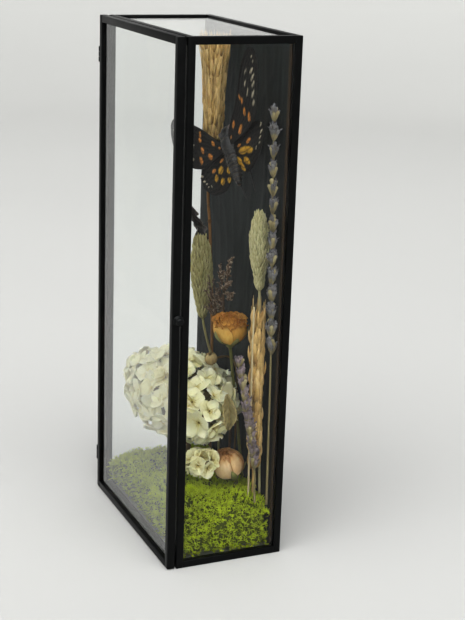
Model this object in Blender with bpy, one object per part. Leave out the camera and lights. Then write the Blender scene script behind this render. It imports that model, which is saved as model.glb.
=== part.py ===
# Cicada display box: a glazed metal case with a hinged glass door, a cicada and dried flowers on moss.
# Metres, +Z up. The door faces -Y, the backing board is at +Y, and the origin is under the middle of the box.
import bpy
import bmesh
import math
from mathutils import Matrix, Vector

# Driving dimensions of the case
BOX_HEIGHT = 0.300
BOX_WIDTH = 0.1265
BODY_DEPTH = 0.0653
DOOR_THICK = 0.0045
DOOR_GAP = 0.0012
BAR = 0.0042
GLASS = 0.0016
PANE_SET_BACK = 0.0010
PANE_GRIP = 0.0006
FIT = 0.00025
TOUCH_GAP = 0.0003
BOARD_THICK = 0.0020
DOOR_FLOOR_CLEAR = 0.0006

# Places worked out from the driving dimensions
HALF_W = BOX_WIDTH / 2
TOTAL_DEPTH = BODY_DEPTH + DOOR_GAP + DOOR_THICK
BACK = TOTAL_DEPTH / 2
FRONT = BACK - BODY_DEPTH
DOOR_BACK = FRONT - DOOR_GAP
DOOR_FRONT = DOOR_BACK - DOOR_THICK
BOARD_BACK = BACK - PANE_SET_BACK - GLASS - TOUCH_GAP
BOARD_FRONT = BOARD_BACK - BOARD_THICK

# Door furniture
HINGE_AXIS_X = -HALF_W - 0.0015
HINGE_AXIS_Y = DOOR_FRONT + 0.0012
HINGE_RADIUS = 0.0012
HINGE_LENGTH = 0.0090
HINGE_LEAF = 0.0005
HINGE_FROM_END = 0.023
KNOB_HEIGHT = 0.1487
KNOB_RADIUS = 0.00315
KNOB_REACH = 0.0042
KNOB_Y = DOOR_BACK - 0.0012

# Moss bed
MOSS_BASE = 0.0031
MOSS_HALF_X = 0.0582
MOSS_FRONT = -0.0295
MOSS_BACK = 0.0298
MOSS_COLUMNS = 18
MOSS_ROWS = 10

# Mounted cicada: body centre, direction to its near wing and direction to its head
CICADA_CENTRE = Vector((0.0195, 0.0149, 0.2329))
CICADA_ACROSS = Vector((0.772, 0.211, 0.599)).normalized()
CICADA_AHEAD = Vector((-0.615, 0.008, 0.789)).normalized()
WING_THICK = 0.0006

BLACK = (0.018, 0.020, 0.020, 1)
CLEAR = (0.85, 0.90, 0.90, 0.3)

for old in list(bpy.data.objects):
    bpy.data.objects.remove(old)

box_parts = bpy.data.collections.new("cicada_display_box")
cutters = bpy.data.collections.new("cutters")
bpy.context.scene.collection.children.link(box_parts)
bpy.context.scene.collection.children.link(cutters)


def finish_of(name, colour, roughness=0.6, metallic=0.0):
    """A Principled material for one part."""
    mat = bpy.data.materials.new(name)
    mat.use_nodes = True
    shader = mat.node_tree.nodes["Principled BSDF"]
    shader.inputs["Base Color"].default_value = colour
    shader.inputs["Roughness"].default_value = roughness
    shader.inputs["Metallic"].default_value = metallic
    return mat


def add_object(name, mesh, colour, roughness=0.6, metallic=0.0, place=None, smooth=False):
    """Put a mesh in the model's collection under its part name."""
    obj = bpy.data.objects.new(name, mesh)
    box_parts.objects.link(obj)
    mesh.materials.append(finish_of(name, colour, roughness, metallic))
    if place is not None:
        obj.matrix_world = place
    if smooth:
        mesh.shade_smooth()
        mesh.set_sharp_from_angle(angle=math.radians(50))
    return obj


def mesh_from(bm, name):
    """Close a bmesh's book-keeping and turn it into a mesh."""
    bmesh.ops.recalc_face_normals(bm, faces=bm.faces)
    mesh = bpy.data.meshes.new(name)
    bm.to_mesh(mesh)
    bm.free()
    return mesh


def box_mesh(name, low, high):
    """An upright block between two corners."""
    size = [b - a for a, b in zip(low, high)]
    middle = [(a + b) / 2 for a, b in zip(low, high)]
    bm = bmesh.new()
    bmesh.ops.create_cube(bm, size=1, matrix=Matrix.Translation(middle) @ Matrix.Diagonal((*size, 1)))
    return mesh_from(bm, name)


def cylinder_mesh(name, radius, length, axis, centre, sides=12):
    """A closed cylinder along X, Y or Z."""
    turn = {"X": Matrix.Rotation(math.pi / 2, 4, "Y"), "Y": Matrix.Rotation(math.pi / 2, 4, "X")}
    bm = bmesh.new()
    bmesh.ops.create_cone(
        bm, cap_ends=True, segments=sides, radius1=radius, radius2=radius, depth=length,
        matrix=Matrix.Translation(centre) @ turn.get(axis, Matrix.Identity(4)))
    return mesh_from(bm, name)


def ball_mesh(name, centre, radii, segments=10, rings=7, relief=None):
    """An egg-shaped lump whose surface a relief function can push in and out."""
    bm = bmesh.new()
    bmesh.ops.create_uvsphere(bm, u_segments=segments, v_segments=rings, radius=1)
    for vert in bm.verts:
        swell = relief(vert.co.copy()) if relief else 1.0
        vert.co = Vector((c + r * p * swell for c, r, p in zip(centre, radii, vert.co)))
    return mesh_from(bm, name)


def loft_mesh(name, spine, section, sides=8):
    """A closed skin over rings set across a spine; section(k, angle) gives each ring's reach in metres.

    The rings stay square to the run of the spine, and the first and last are capped.
    """
    bm = bmesh.new()
    rings = []
    for k, point in enumerate(spine):
        ahead = (spine[min(k + 1, len(spine) - 1)] - spine[max(k - 1, 0)]).normalized()
        side = ahead.cross(Vector((0, 1, 0))).normalized()
        front = side.cross(ahead).normalized()
        ring = []
        for n in range(sides):
            angle = math.tau * n / sides
            across, deep = section(k, angle)
            ring.append(bm.verts.new(point + side * across + front * deep))
        rings.append(ring)
    for lower, upper in zip(rings, rings[1:]):
        for n in range(sides):
            m = (n + 1) % sides
            bm.faces.new((lower[n], lower[m], upper[m], upper[n]))
    bm.faces.new(rings[0])
    bm.faces.new(rings[-1])
    return mesh_from(bm, name)


def round_section(radii):
    """Rings that are round, with one radius for each place along the spine."""
    return lambda k, angle: (radii[k] * math.cos(angle), radii[k] * math.sin(angle))


def along(start, end, count, sag=(0, 0, 0)):
    """Points from start to end, bowed sideways by sag in the middle."""
    points = []
    for k in range(count):
        t = k / (count - 1)
        bow = 4 * t * (1 - t)
        points.append(Vector((a + (b - a) * t + s * bow for a, b, s in zip(start, end, sag))))
    return points


def fuse(base, others):
    """Join closed meshes into one solid and return its mesh."""
    helper = bpy.data.objects.new("fuse_base", base)
    cutters.objects.link(helper)
    added = []
    for k, mesh in enumerate(others):
        piece = bpy.data.objects.new(f"fuse_{k}", mesh)
        cutters.objects.link(piece)
        added.append(piece)
        union = helper.modifiers.new(f"join_{k}", "BOOLEAN")
        union.operation = "UNION"
        union.solver = "EXACT"
        union.object = piece
    bpy.context.view_layer.update()
    seen = helper.evaluated_get(bpy.context.evaluated_depsgraph_get())
    result = bpy.data.meshes.new_from_object(seen)
    for piece in (helper, *added):
        bpy.data.objects.remove(piece)
    fill_pockets(result)
    return result


def fill_pockets(mesh):
    """Drop the skins of pockets sealed inside a fused solid, which leaves only its largest, outer skin."""
    bm = bmesh.new()
    bm.from_mesh(mesh)
    unseen = set(bm.faces)
    skins = []
    while unseen:
        skin = {unseen.pop()}
        edge_of_skin = list(skin)
        while edge_of_skin:
            face = edge_of_skin.pop()
            beside = {f for edge in face.edges for f in edge.link_faces} & unseen
            unseen -= beside
            skin |= beside
            edge_of_skin += beside
        skins.append(skin)
    skins.sort(key=len)
    inner = [face for skin in skins[:-1] for face in skin]
    bmesh.ops.delete(bm, geom=inner, context="FACES")
    bm.to_mesh(mesh)
    bm.free()


def plate_mesh(name, outline, thickness, bend=0.0):
    """A flat leaf or wing from an outline of (x, y) points, cupped by bend at its edges."""
    bm = bmesh.new()
    top = [bm.verts.new((x, y, thickness / 2 + bend * x * x)) for x, y in outline]
    under = [bm.verts.new((x, y, -thickness / 2 + bend * x * x)) for x, y in outline]
    centre_x = sum(x for x, _ in outline) / len(outline)
    centre_y = sum(y for _, y in outline) / len(outline)
    middle_top = bm.verts.new((centre_x, centre_y, thickness / 2 + bend * centre_x * centre_x))
    middle_under = bm.verts.new((centre_x, centre_y, -thickness / 2 + bend * centre_x * centre_x))
    for n in range(len(outline)):
        m = (n + 1) % len(outline)
        bm.faces.new((top[n], top[m], middle_top))
        bm.faces.new((under[m], under[n], middle_under))
        bm.faces.new((under[n], under[m], top[m], top[n]))
    return mesh_from(bm, name)


def cutter_box(name, low, high):
    """A block, grown by the fit allowance, that grooves the bars for one pane."""
    low = [v - FIT for v in low]
    high = [v + FIT for v in high]
    obj = bpy.data.objects.new(name, box_mesh(name, low, high))
    cutters.objects.link(obj)
    obj.hide_render = True
    obj.display_type = "WIRE"
    return obj


def groove(bar, pane_cutters):
    """Cut the pane grooves into a bar."""
    for cutter in pane_cutters:
        cut = bar.modifiers.new(cutter.name, "BOOLEAN")
        cut.operation = "DIFFERENCE"
        cut.solver = "EXACT"
        cut.object = cutter


def pane_extents():
    """Low and high corners of the five panes held by the case, by name."""
    inner_w = HALF_W - BAR + PANE_GRIP
    outer = PANE_SET_BACK
    y_low = FRONT + BAR - PANE_GRIP
    y_high = BACK - BAR + PANE_GRIP
    z_low = BAR - PANE_GRIP
    z_high = BOX_HEIGHT - BAR + PANE_GRIP
    side_in = HALF_W - outer - GLASS
    side_out = HALF_W - outer
    return {
        "glass_left": ((-side_out, y_low, z_low), (-side_in, y_high, z_high)),
        "glass_right": ((side_in, y_low, z_low), (side_out, y_high, z_high)),
        "glass_back": ((-inner_w, BACK - outer - GLASS, z_low), (inner_w, BACK - outer, z_high)),
        "glass_top": ((-inner_w, y_low, BOX_HEIGHT - outer - GLASS), (inner_w, y_high, BOX_HEIGHT - outer)),
        "glass_bottom": ((-inner_w, y_low, outer), (inner_w, y_high, outer + GLASS)),
    }


def build_case():
    """The twelve bars, five panes and the black board of the case."""
    panes = pane_extents()
    grooves = {name: cutter_box("groove_" + name, low, high) for name, (low, high) in panes.items()}
    for name, (low, high) in panes.items():
        add_object(name, box_mesh(name, low, high), CLEAR, 0.05)
    inner_x = HALF_W - BAR - TOUCH_GAP
    inner_y = (FRONT + BAR + TOUCH_GAP, BACK - BAR - TOUCH_GAP)
    left = (-HALF_W, -HALF_W + BAR)
    right = (HALF_W - BAR, HALF_W)
    front = (FRONT, FRONT + BAR)
    back = (BACK - BAR, BACK)
    bottom = (0, BAR)
    top = (BOX_HEIGHT - BAR, BOX_HEIGHT)
    across = (-inner_x, inner_x)
    full = (0, BOX_HEIGHT)
    bars = {
        "post_front_left": (left, front, full),
        "post_front_right": (right, front, full),
        "post_back_left": (left, back, full),
        "post_back_right": (right, back, full),
        "rail_top_front": (across, front, top),
        "rail_top_back": (across, back, top),
        "rail_top_left": (left, inner_y, top),
        "rail_top_right": (right, inner_y, top),
        "rail_bottom_front": (across, front, bottom),
        "rail_bottom_back": (across, back, bottom),
        "rail_bottom_left": (left, inner_y, bottom),
        "rail_bottom_right": (right, inner_y, bottom),
    }
    for name, (xs, ys, zs) in bars.items():
        bar = add_object(name, box_mesh(name, (xs[0], ys[0], zs[0]), (xs[1], ys[1], zs[1])), BLACK, 0.45)
        sides = set(name.split("_")[1:])
        panes = ("left", "right", "back", "top", "bottom")
        wanted = [grooves["glass_" + side] for side in panes if side in sides]
        if name.startswith("post"):
            wanted += [grooves["glass_top"], grooves["glass_bottom"]]
        groove(bar, wanted)
    low = (-inner_x, BOARD_FRONT, BAR + TOUCH_GAP)
    high = (inner_x, BOARD_BACK, BOX_HEIGHT - BAR - TOUCH_GAP)
    add_object("backing_board", box_mesh("backing_board", low, high), (0.022, 0.027, 0.030, 1), 0.85)


def build_door():
    """The door: two stiles, two rails, its pane and the fixed round knob."""
    bottom = DOOR_FLOOR_CLEAR
    top = BOX_HEIGHT
    pane_low = (-HALF_W + BAR - PANE_GRIP, DOOR_FRONT + 0.0015, bottom + BAR - PANE_GRIP)
    pane_high = (HALF_W - BAR + PANE_GRIP, DOOR_FRONT + 0.0015 + GLASS, top - BAR + PANE_GRIP)
    pane_groove = cutter_box("groove_door_glass", pane_low, pane_high)
    add_object("door_glass", box_mesh("door_glass", pane_low, pane_high), CLEAR, 0.05)
    inner_x = HALF_W - BAR - TOUCH_GAP
    members = {
        "door_stile_left": ((-HALF_W, -HALF_W + BAR), (bottom, top)),
        "door_stile_right": ((HALF_W - BAR, HALF_W), (bottom, top)),
        "door_rail_top": ((-inner_x, inner_x), (top - BAR, top)),
        "door_rail_bottom": ((-inner_x, inner_x), (bottom, bottom + BAR)),
    }
    for name, (xs, zs) in members.items():
        mesh = box_mesh(name, (xs[0], DOOR_FRONT, zs[0]), (xs[1], DOOR_BACK, zs[1]))
        groove(add_object(name, mesh, BLACK, 0.45), [pane_groove])
    build_knob()


def build_knob():
    """A turned knob: flange, neck and dome, on the side of the door's free stile."""
    r = KNOB_RADIUS
    profile = [(r, 0.0), (r, 0.0007), (r * 0.86, 0.0012), (r * 0.62, 0.0017), (r * 0.66, 0.0022),
               (r * 0.74, 0.0029), (r * 0.62, 0.0036), (r * 0.34, 0.0041), (0.0, KNOB_REACH)]
    bm = bmesh.new()
    sides = 12
    start = HALF_W + TOUCH_GAP
    rings = []
    for radius, reach in profile[:-1]:
        ring = []
        for n in range(sides):
            angle = math.tau * n / sides
            ring.append(bm.verts.new((start + reach, KNOB_Y + radius * math.cos(angle),
                                      KNOB_HEIGHT + radius * math.sin(angle))))
        rings.append(ring)
    crown = bm.verts.new((start + KNOB_REACH, KNOB_Y, KNOB_HEIGHT))
    for inner, outer in zip(rings, rings[1:]):
        for n in range(sides):
            m = (n + 1) % sides
            bm.faces.new((inner[n], inner[m], outer[m], outer[n]))
    for n in range(sides):
        bm.faces.new((rings[-1][n], rings[-1][(n + 1) % sides], crown))
    bm.faces.new(rings[0])
    add_object("door_knob", mesh_from(bm, "door_knob"), BLACK, 0.2, smooth=True)


def build_hinge(place, middle):
    """One small butt hinge: two knuckles on the case and one on the door, each with its leaf."""
    third = (HINGE_LENGTH - 2 * TOUCH_GAP) / 3
    leaf_x = (HINGE_AXIS_X + 0.0007, HINGE_AXIS_X + 0.0007 + HINGE_LEAF)
    centre = (HINGE_AXIS_X, HINGE_AXIS_Y, middle)
    half = HINGE_LENGTH / 2
    leaf = box_mesh("leaf", (leaf_x[0], FRONT + TOUCH_GAP, middle - half),
                    (leaf_x[1], FRONT + 0.0048, middle + half))
    pieces = []
    for side in (-1, 1):
        at = middle + side * (third + TOUCH_GAP)
        pieces.append(cylinder_mesh("knuckle", HINGE_RADIUS, third, "Z", (centre[0], centre[1], at)))
        pieces.append(box_mesh("arm", (leaf_x[0], centre[1], at - third / 2),
                               (leaf_x[1], FRONT + 0.001, at + third / 2)))
    add_object(f"hinge_{place}_case", fuse(leaf, pieces), BLACK, 0.35, 0.6)
    knuckle = cylinder_mesh("knuckle", HINGE_RADIUS, third, "Z", centre)
    tab = box_mesh("tab", (leaf_x[0], centre[1] - 0.001, middle - third / 2),
                   (leaf_x[1], DOOR_BACK - 0.0002, middle + third / 2))
    add_object(f"hinge_{place}_door", fuse(knuckle, [tab]), BLACK, 0.35, 0.6)


def moss_height(x, y):
    """Top of the moss at a point, low at the far front corner and lumpy all over."""
    rise = 0.0215 + 0.0125 / (1 + math.exp(-(x + 0.040) / 0.006))
    lumps = 0.0022 * math.sin(x * 210 + 1.0) * math.cos(y * 190 + 0.4) + 0.0012 * math.sin(x * 430 + y * 370)
    dip = 0.0050 * max(0, (abs(y) - 0.018) / 0.012) ** 2
    edge = 0.0060 * max(0, (abs(x) - 0.050) / 0.008) ** 2
    tuft = 0.0060 * math.exp(-((x - 0.052) / 0.012) ** 2 - ((y + 0.014) / 0.012) ** 2)
    return rise + lumps + tuft - dip - edge


def moss_top(i, j):
    """The corner in column i and row j of the moss's top."""
    x = MOSS_HALF_X * (2 * i / MOSS_COLUMNS - 1)
    y = MOSS_FRONT + (MOSS_BACK - MOSS_FRONT) * min(j, MOSS_ROWS) / MOSS_ROWS
    return Vector((x, y, moss_height(x, y)))


def build_moss():
    """The moss bed, pressed in between the panes, with a taller tuft at its near corner."""
    bm = bmesh.new()
    grid = []
    for i in range(MOSS_COLUMNS + 1):
        grid.append([bm.verts.new(moss_top(i, j)) for j in range(MOSS_ROWS + 1)])
    for i in range(MOSS_COLUMNS):
        for j in range(MOSS_ROWS):
            bm.faces.new((grid[i][j], grid[i + 1][j], grid[i + 1][j + 1], grid[i][j + 1]))
    rim = [column[0] for column in grid] + grid[-1][1:]
    rim += [column[-1] for column in reversed(grid[:-1])] + list(reversed(grid[0][1:-1]))
    foot_front = FRONT + BAR + TOUCH_GAP
    for level in (BAR + TOUCH_GAP, MOSS_BASE):
        lower = [bm.verts.new((v.co.x, max(v.co.y, foot_front), level)) for v in rim]
        for n in range(len(rim)):
            m = (n + 1) % len(rim)
            bm.faces.new((rim[n], lower[n], lower[m], rim[m]))
        rim = lower
    bm.faces.new(rim)
    add_object("moss_bed", mesh_from(bm, "moss_bed"), (0.14, 0.17, 0.03, 1), 0.95, smooth=True)


def stand_on_moss(x, y):
    """The height at which a stem ends, just over the highest corner of the moss's facet there."""
    column = int((x / MOSS_HALF_X + 1) / 2 * MOSS_COLUMNS)
    row = int((y - MOSS_FRONT) / (MOSS_BACK - MOSS_FRONT) * MOSS_ROWS)
    corners = [moss_top(i, j).z for i in (column, column + 1) for j in (row, row + 1)]
    return max(corners) + 0.0010


def stem_points(top, foot_xy, count=5, sag=(0, 0, 0)):
    """A stem's spine, from its foot on the moss up to its top."""
    foot = (foot_xy[0], foot_xy[1], stand_on_moss(*foot_xy))
    return along(foot, top, count, sag)


def build_stem(name, top, foot_xy, radius, colour, sag=(0, 0, 0), count=5):
    """A bare stalk that stands on the moss."""
    spine = stem_points(top, foot_xy, count, sag)
    add_object(name, loft_mesh(name, spine, round_section([radius] * count), 6), colour, 0.8)


def beaded_section(radii, lobes, depth, twist):
    """Rings with lobes round them that turn a little from ring to ring, as overlapping husks do."""
    def section(k, angle):
        reach = radii[k] * (1 + depth * math.cos(lobes * angle + twist * k))
        return reach * math.cos(angle), reach * math.sin(angle)
    return section


def build_lavender(name, top, low, foot_xy, whorls, radius, colour):
    """A lavender spike: whorls of calyces beaded along its stem, in one piece down to the moss."""
    spine = []
    radii = []
    stem_radius = 0.0006
    for k in range(whorls):
        for step, swell in ((0.00, 0.42), (0.45, 1.0), (0.78, 0.75)):
            t = (k + step) / whorls
            slim = 1.0 if k > whorls / 4 else 0.74
            spine.append(Vector((a + (b - a) * t for a, b in zip(low, top))))
            radii.append(radius * swell * slim * (1 - 0.25 * t * t))
    spine.append(Vector(top))
    radii.append(radius * 0.2)
    foot = (foot_xy[0], foot_xy[1], stand_on_moss(*foot_xy))
    stalk = along(foot, low, 4)[:-1]
    spine = stalk + spine
    radii = [stem_radius] * len(stalk) + radii
    mesh = loft_mesh(name, spine, beaded_section(radii, 3, 0.12, 1.0), 6)
    add_object(name, mesh, colour, 0.9, smooth=True)


def build_grass_head(name, top, low, foot_xy, radius, colour, husk_depth, bow=0.0, tip=0.96):
    """A dense grass head, blunt at both ends, whose husks stand out in turns, on its own stem."""
    spine = []
    radii = []
    rings = 13
    for k in range(rings):
        t = k / (rings - 1)
        spine.append(Vector((a + (b - a) * t for a, b in zip(low, top))))
        radii.append(radius * (0.25 + 0.75 * math.sin(math.pi * (0.12 + (tip - 0.12) * t)) ** 0.55)
                     * (1 + husk_depth * (-1) ** k))
    foot = (foot_xy[0], foot_xy[1], stand_on_moss(*foot_xy))
    stalk = along(foot, low, 6, (0, bow, 0))[:-1]
    spine = stalk + spine
    radii = [0.0008] * len(stalk) + radii
    mesh = loft_mesh(name, spine, beaded_section(radii, 5, 0.06, 0.63), 10)
    add_object(name, mesh, colour, 0.9, smooth=True)


def build_back_wheat():
    """The bearded wheat ear by the board, whose awns open upwards in a ridged sheaf, and its bent stalk."""
    base = (-0.0184, 0.0196, 0.2225)
    top = (-0.0184, 0.0196, 0.2925)
    radii = (0.0016, 0.0044, 0.0057, 0.0056, 0.0058, 0.0056, 0.0062, 0.0072, 0.0083, 0.0092)
    spine = along(base, top, len(radii))

    def section(k, angle):
        husk = 1 + 0.09 * (-1) ** k * math.cos(4 * angle) if 0 < k < 6 else 1 + 0.12 * math.cos(8 * angle)
        return radii[k] * husk * math.cos(angle), radii[k] * husk * math.sin(angle)

    ear = loft_mesh("wheat_back_ear", spine, section, 16)
    add_object("wheat_back_ear", ear, (0.48, 0.30, 0.12, 1), 0.85, smooth=True)
    foot = Vector((-0.0250, 0.0268, stand_on_moss(-0.0250, 0.0268)))
    bends = [(-0.0272, 0.0266, 0.1100), (-0.0295, 0.0245, 0.1710), (-0.0298, 0.0225, 0.1970),
             (-0.0188, 0.0197, 0.2218)]
    stalk = loft_mesh("wheat_back_stalk", [foot] + [Vector(p) for p in bends], round_section([0.0009] * 5), 6)
    add_object("wheat_back_stalk", stalk, (0.42, 0.22, 0.07, 1), 0.8)


def build_side_wheat():
    """The golden wheat ear by the side pane and the straw beside it."""
    build_grass_head("wheat_side_ear", (0.0500, 0.0213, 0.1535), (0.0500, 0.0225, 0.0470), (0.0500, 0.0228),
                     0.0036, (0.58, 0.42, 0.19, 1), 0.08)
    build_stem("straw_side", (0.0525, 0.0168, 0.1490), (0.0525, 0.0166), 0.0007, (0.60, 0.50, 0.32, 1), count=6)


def sphere_spread(count):
    """Directions spread evenly over a ball by the golden angle."""
    golden = math.pi * (3 - math.sqrt(5))
    for n in range(count):
        z = 1 - 2 * (n + 0.5) / count
        ring = math.sqrt(1 - z * z)
        yield Vector((ring * math.cos(golden * n), ring * math.sin(golden * n), z))


def floret_mesh(place, radius, root):
    """A four-petalled flower: a shallow dish above, tapering to its root below."""
    bm = bmesh.new()
    rim = []
    for petal in range(4):
        for off, reach, lift in ((-20, 1.0, 0.16), (20, 1.0, 0.16), (45, 0.48, 0.0)):
            angle = math.radians(90 * petal + off)
            spot = (radius * reach * math.cos(angle), radius * reach * math.sin(angle), radius * lift)
            rim.append(bm.verts.new(spot))
    eye = bm.verts.new((0, 0, -0.0002))
    stalk = bm.verts.new((0, 0, -root))
    for n in range(len(rim)):
        m = (n + 1) % len(rim)
        bm.faces.new((rim[n], rim[m], eye))
        bm.faces.new((rim[m], rim[n], stalk))
    mesh = mesh_from(bm, "floret")
    mesh.transform(place)
    return mesh


def flower_ball(name, centre, radii, florets, radius, root, sides):
    """A ball of flowers: a core, with four-petalled flowers standing square to it, in one solid."""
    core = ball_mesh("core", centre, radii, sides, sides // 2 + 1)
    flowers = []
    for n, out in enumerate(sphere_spread(florets)):
        point = Vector(centre) + Vector((o * r for o, r in zip(out, radii)))
        normal = Vector((o / r for o, r in zip(out, radii))).normalized()
        turn = normal.to_track_quat("Z", "Y").to_matrix().to_4x4() @ Matrix.Rotation(n * 0.7, 4, "Z")
        place = Matrix.Translation(point + normal * (0.0012 + 0.0004 * (n % 3))) @ turn
        flowers.append(floret_mesh(place, radius, root))
    return fuse(core, flowers)


def build_hydrangea():
    """The dried hydrangea head, a dense ball of four-petalled flowers, its stem and a low sprig."""
    head = flower_ball("head", (-0.0045, -0.0033, 0.0815), (0.0460, 0.0234, 0.0250), 32, 0.0100, 0.0035, 12)
    add_object("hydrangea_head", head, (0.72, 0.68, 0.44, 1), 0.8)
    build_stem("hydrangea_stem", (-0.0030, 0.0010, 0.0490), (-0.0030, 0.0030), 0.0020, (0.30, 0.24, 0.12, 1),
               count=3)
    sprig = flower_ball("sprig", (0.0435, -0.0098, 0.0530), (0.0050, 0.0062, 0.0056), 6, 0.0062, 0.0025, 7)
    foot = Vector((0.0420, -0.0090, stand_on_moss(0.0420, -0.0090)))
    spine = along(foot, (0.0435, -0.0098, 0.0515), 3)
    stalk = loft_mesh("sprig_stalk", spine, round_section([0.0009] * 3), 6)
    add_object("hydrangea_sprig", fuse(sprig, [stalk]), (0.62, 0.62, 0.44, 1), 0.8)


def build_rose(place, centre, radius, foot_xy, colour, lean):
    """A dried rose: the furled bloom with its ragged rim, and the calyx with its stem below."""
    centre = Vector(centre)
    lean = Vector(lean).normalized()
    turn = lean.to_track_quat("Z", "Y").to_matrix().to_4x4()

    def furled(p):
        angle = math.atan2(p.y, p.x)
        height = p.z
        rim = 0.10 * math.sin(5 * angle + 3 * height) * max(0, height + 0.3)
        layer = 0.07 * math.sin(3 * angle + 9 * height)
        return (1 + rim + layer) * (1.0 if height < 0.75 else 1.0 - 0.55 * (height - 0.75))

    bloom = ball_mesh("bloom", (0, 0, 0), (radius, radius, radius * 0.92), 18, 12, furled)
    stand = Matrix.Translation(centre) @ turn
    add_object(f"rose_{place}_bloom", bloom, colour, 0.75, place=stand, smooth=True)
    neck = centre - lean * (radius * 1.02 + 0.0012)
    foot = Vector((foot_xy[0], foot_xy[1], stand_on_moss(*foot_xy)))
    spine = along(foot, tuple(neck - lean * 0.003), 5) + [neck]
    radii = [0.0010] * 4 + [0.0016, 0.0030]
    calyx = loft_mesh("calyx", spine, round_section(radii), 8)
    add_object(f"rose_{place}_calyx", calyx, (0.16, 0.16, 0.05, 1), 0.85, smooth=True)


def build_rosebud():
    """The small closed bud beside the upper rose, on a thin stem that stands on the moss at the back."""
    x, y, z = 0.0225, 0.0050, 0.1100
    bud = ball_mesh("bud", (x, y, z), (0.0038, 0.0038, 0.0046), 10, 8,
                    lambda p: 1 + 0.08 * math.cos(5 * math.atan2(p.y, p.x)))
    foot = (0.0100, 0.0278, stand_on_moss(0.0100, 0.0278))
    bends = (foot, (0.0100, 0.0278, 0.0900), (0.0110, 0.0230, 0.1050), (0.0160, 0.0110, 0.1080), (x, y, z - 0.003))
    stalk = loft_mesh("bud_stalk", [Vector(p) for p in bends], round_section([0.0006] * 5), 6)
    add_object("rosebud", fuse(bud, [stalk]), (0.32, 0.24, 0.12, 1), 0.8, smooth=True)


def build_statice():
    """The branching dried sprig behind the roses, with small papery flowers at its tips."""
    foot = Vector((0.0010, 0.0284, stand_on_moss(0.0010, 0.0284)))
    knee = Vector((0.0018, 0.0284, 0.0960))
    fork = Vector((0.0040, 0.0210, 0.1180))
    high = Vector((0.0150, 0.0150, 0.1470))
    twigs = ((high, (0.0312, 0.0128, 0.1690)), (high, (0.0130, 0.0135, 0.1620)), (high, (0.0320, 0.0110, 0.1560)),
             (fork, (0.0050, 0.0195, 0.1480)), (knee.lerp(fork, 0.8), (-0.0040, 0.0135, 0.1510)))
    main = loft_mesh("main", [foot, knee, fork, high], round_section([0.0008] * 4), 6)
    pieces = []
    for start, tip in twigs:
        pieces.append(loft_mesh("twig", [start, Vector(tip)], round_section([0.0006] * 2), 5))
        pieces.append(ball_mesh("flower", tip, (0.0036, 0.0030, 0.0048), 8, 6,
                                lambda p: 1 + 0.16 * math.cos(4 * math.atan2(p.y, p.x) + 5 * p.z)))
    add_object("statice_sprig", fuse(main, pieces), (0.36, 0.25, 0.16, 1), 0.85)


def build_dried_leaves():
    """The curled dark leaf, on a stalk from the brown stem, and the olive leaf over the hydrangea."""
    outline = [(0.55, 0.0), (0.42, 0.30), (0.10, 0.44), (-0.30, 0.34), (-0.55, 0.0), (-0.30, -0.34),
               (0.10, -0.44), (0.42, -0.30)]
    places = (
        ("curled_leaf", (-0.0385, 0.0185, 0.1760), (0.020, 0.014), (0.2, 1.25, 0.4), (0.045, 0.040, 0.030, 1)),
        ("dried_leaf", (0.0490, 0.0050, 0.0860), (0.020, 0.012), (0.3, 1.35, 0.35), (0.24, 0.20, 0.09, 1)),
    )
    for name, middle, (length, width), tilt, colour in places:
        shape = [(x * length, y * width) for x, y in outline]
        place = Matrix.Translation(middle)
        for angle, axis in zip(reversed(tilt), "ZYX"):
            place = place @ Matrix.Rotation(angle, 4, axis)
        blade = plate_mesh(name, shape, 0.0006, 14)
        blade.transform(place)
        if name == "curled_leaf":
            bends = ((-0.03047, 0.02388, 0.1680), (-0.0340, 0.0215, 0.1715), middle, (-0.0392, 0.0180, 0.1767))
            stalk = loft_mesh("leaf_stalk", [Vector(p) for p in bends], round_section([0.0005] * 4), 6)
            blade = fuse(blade, [stalk])
        add_object(name, blade, colour, 0.8)


def wing_outline(front, rear):
    """A wing's outline from its leading edge out to the tip and back along its trailing edge."""
    return [(x / 1000, y / 1000) for x, y in front + rear]


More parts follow.
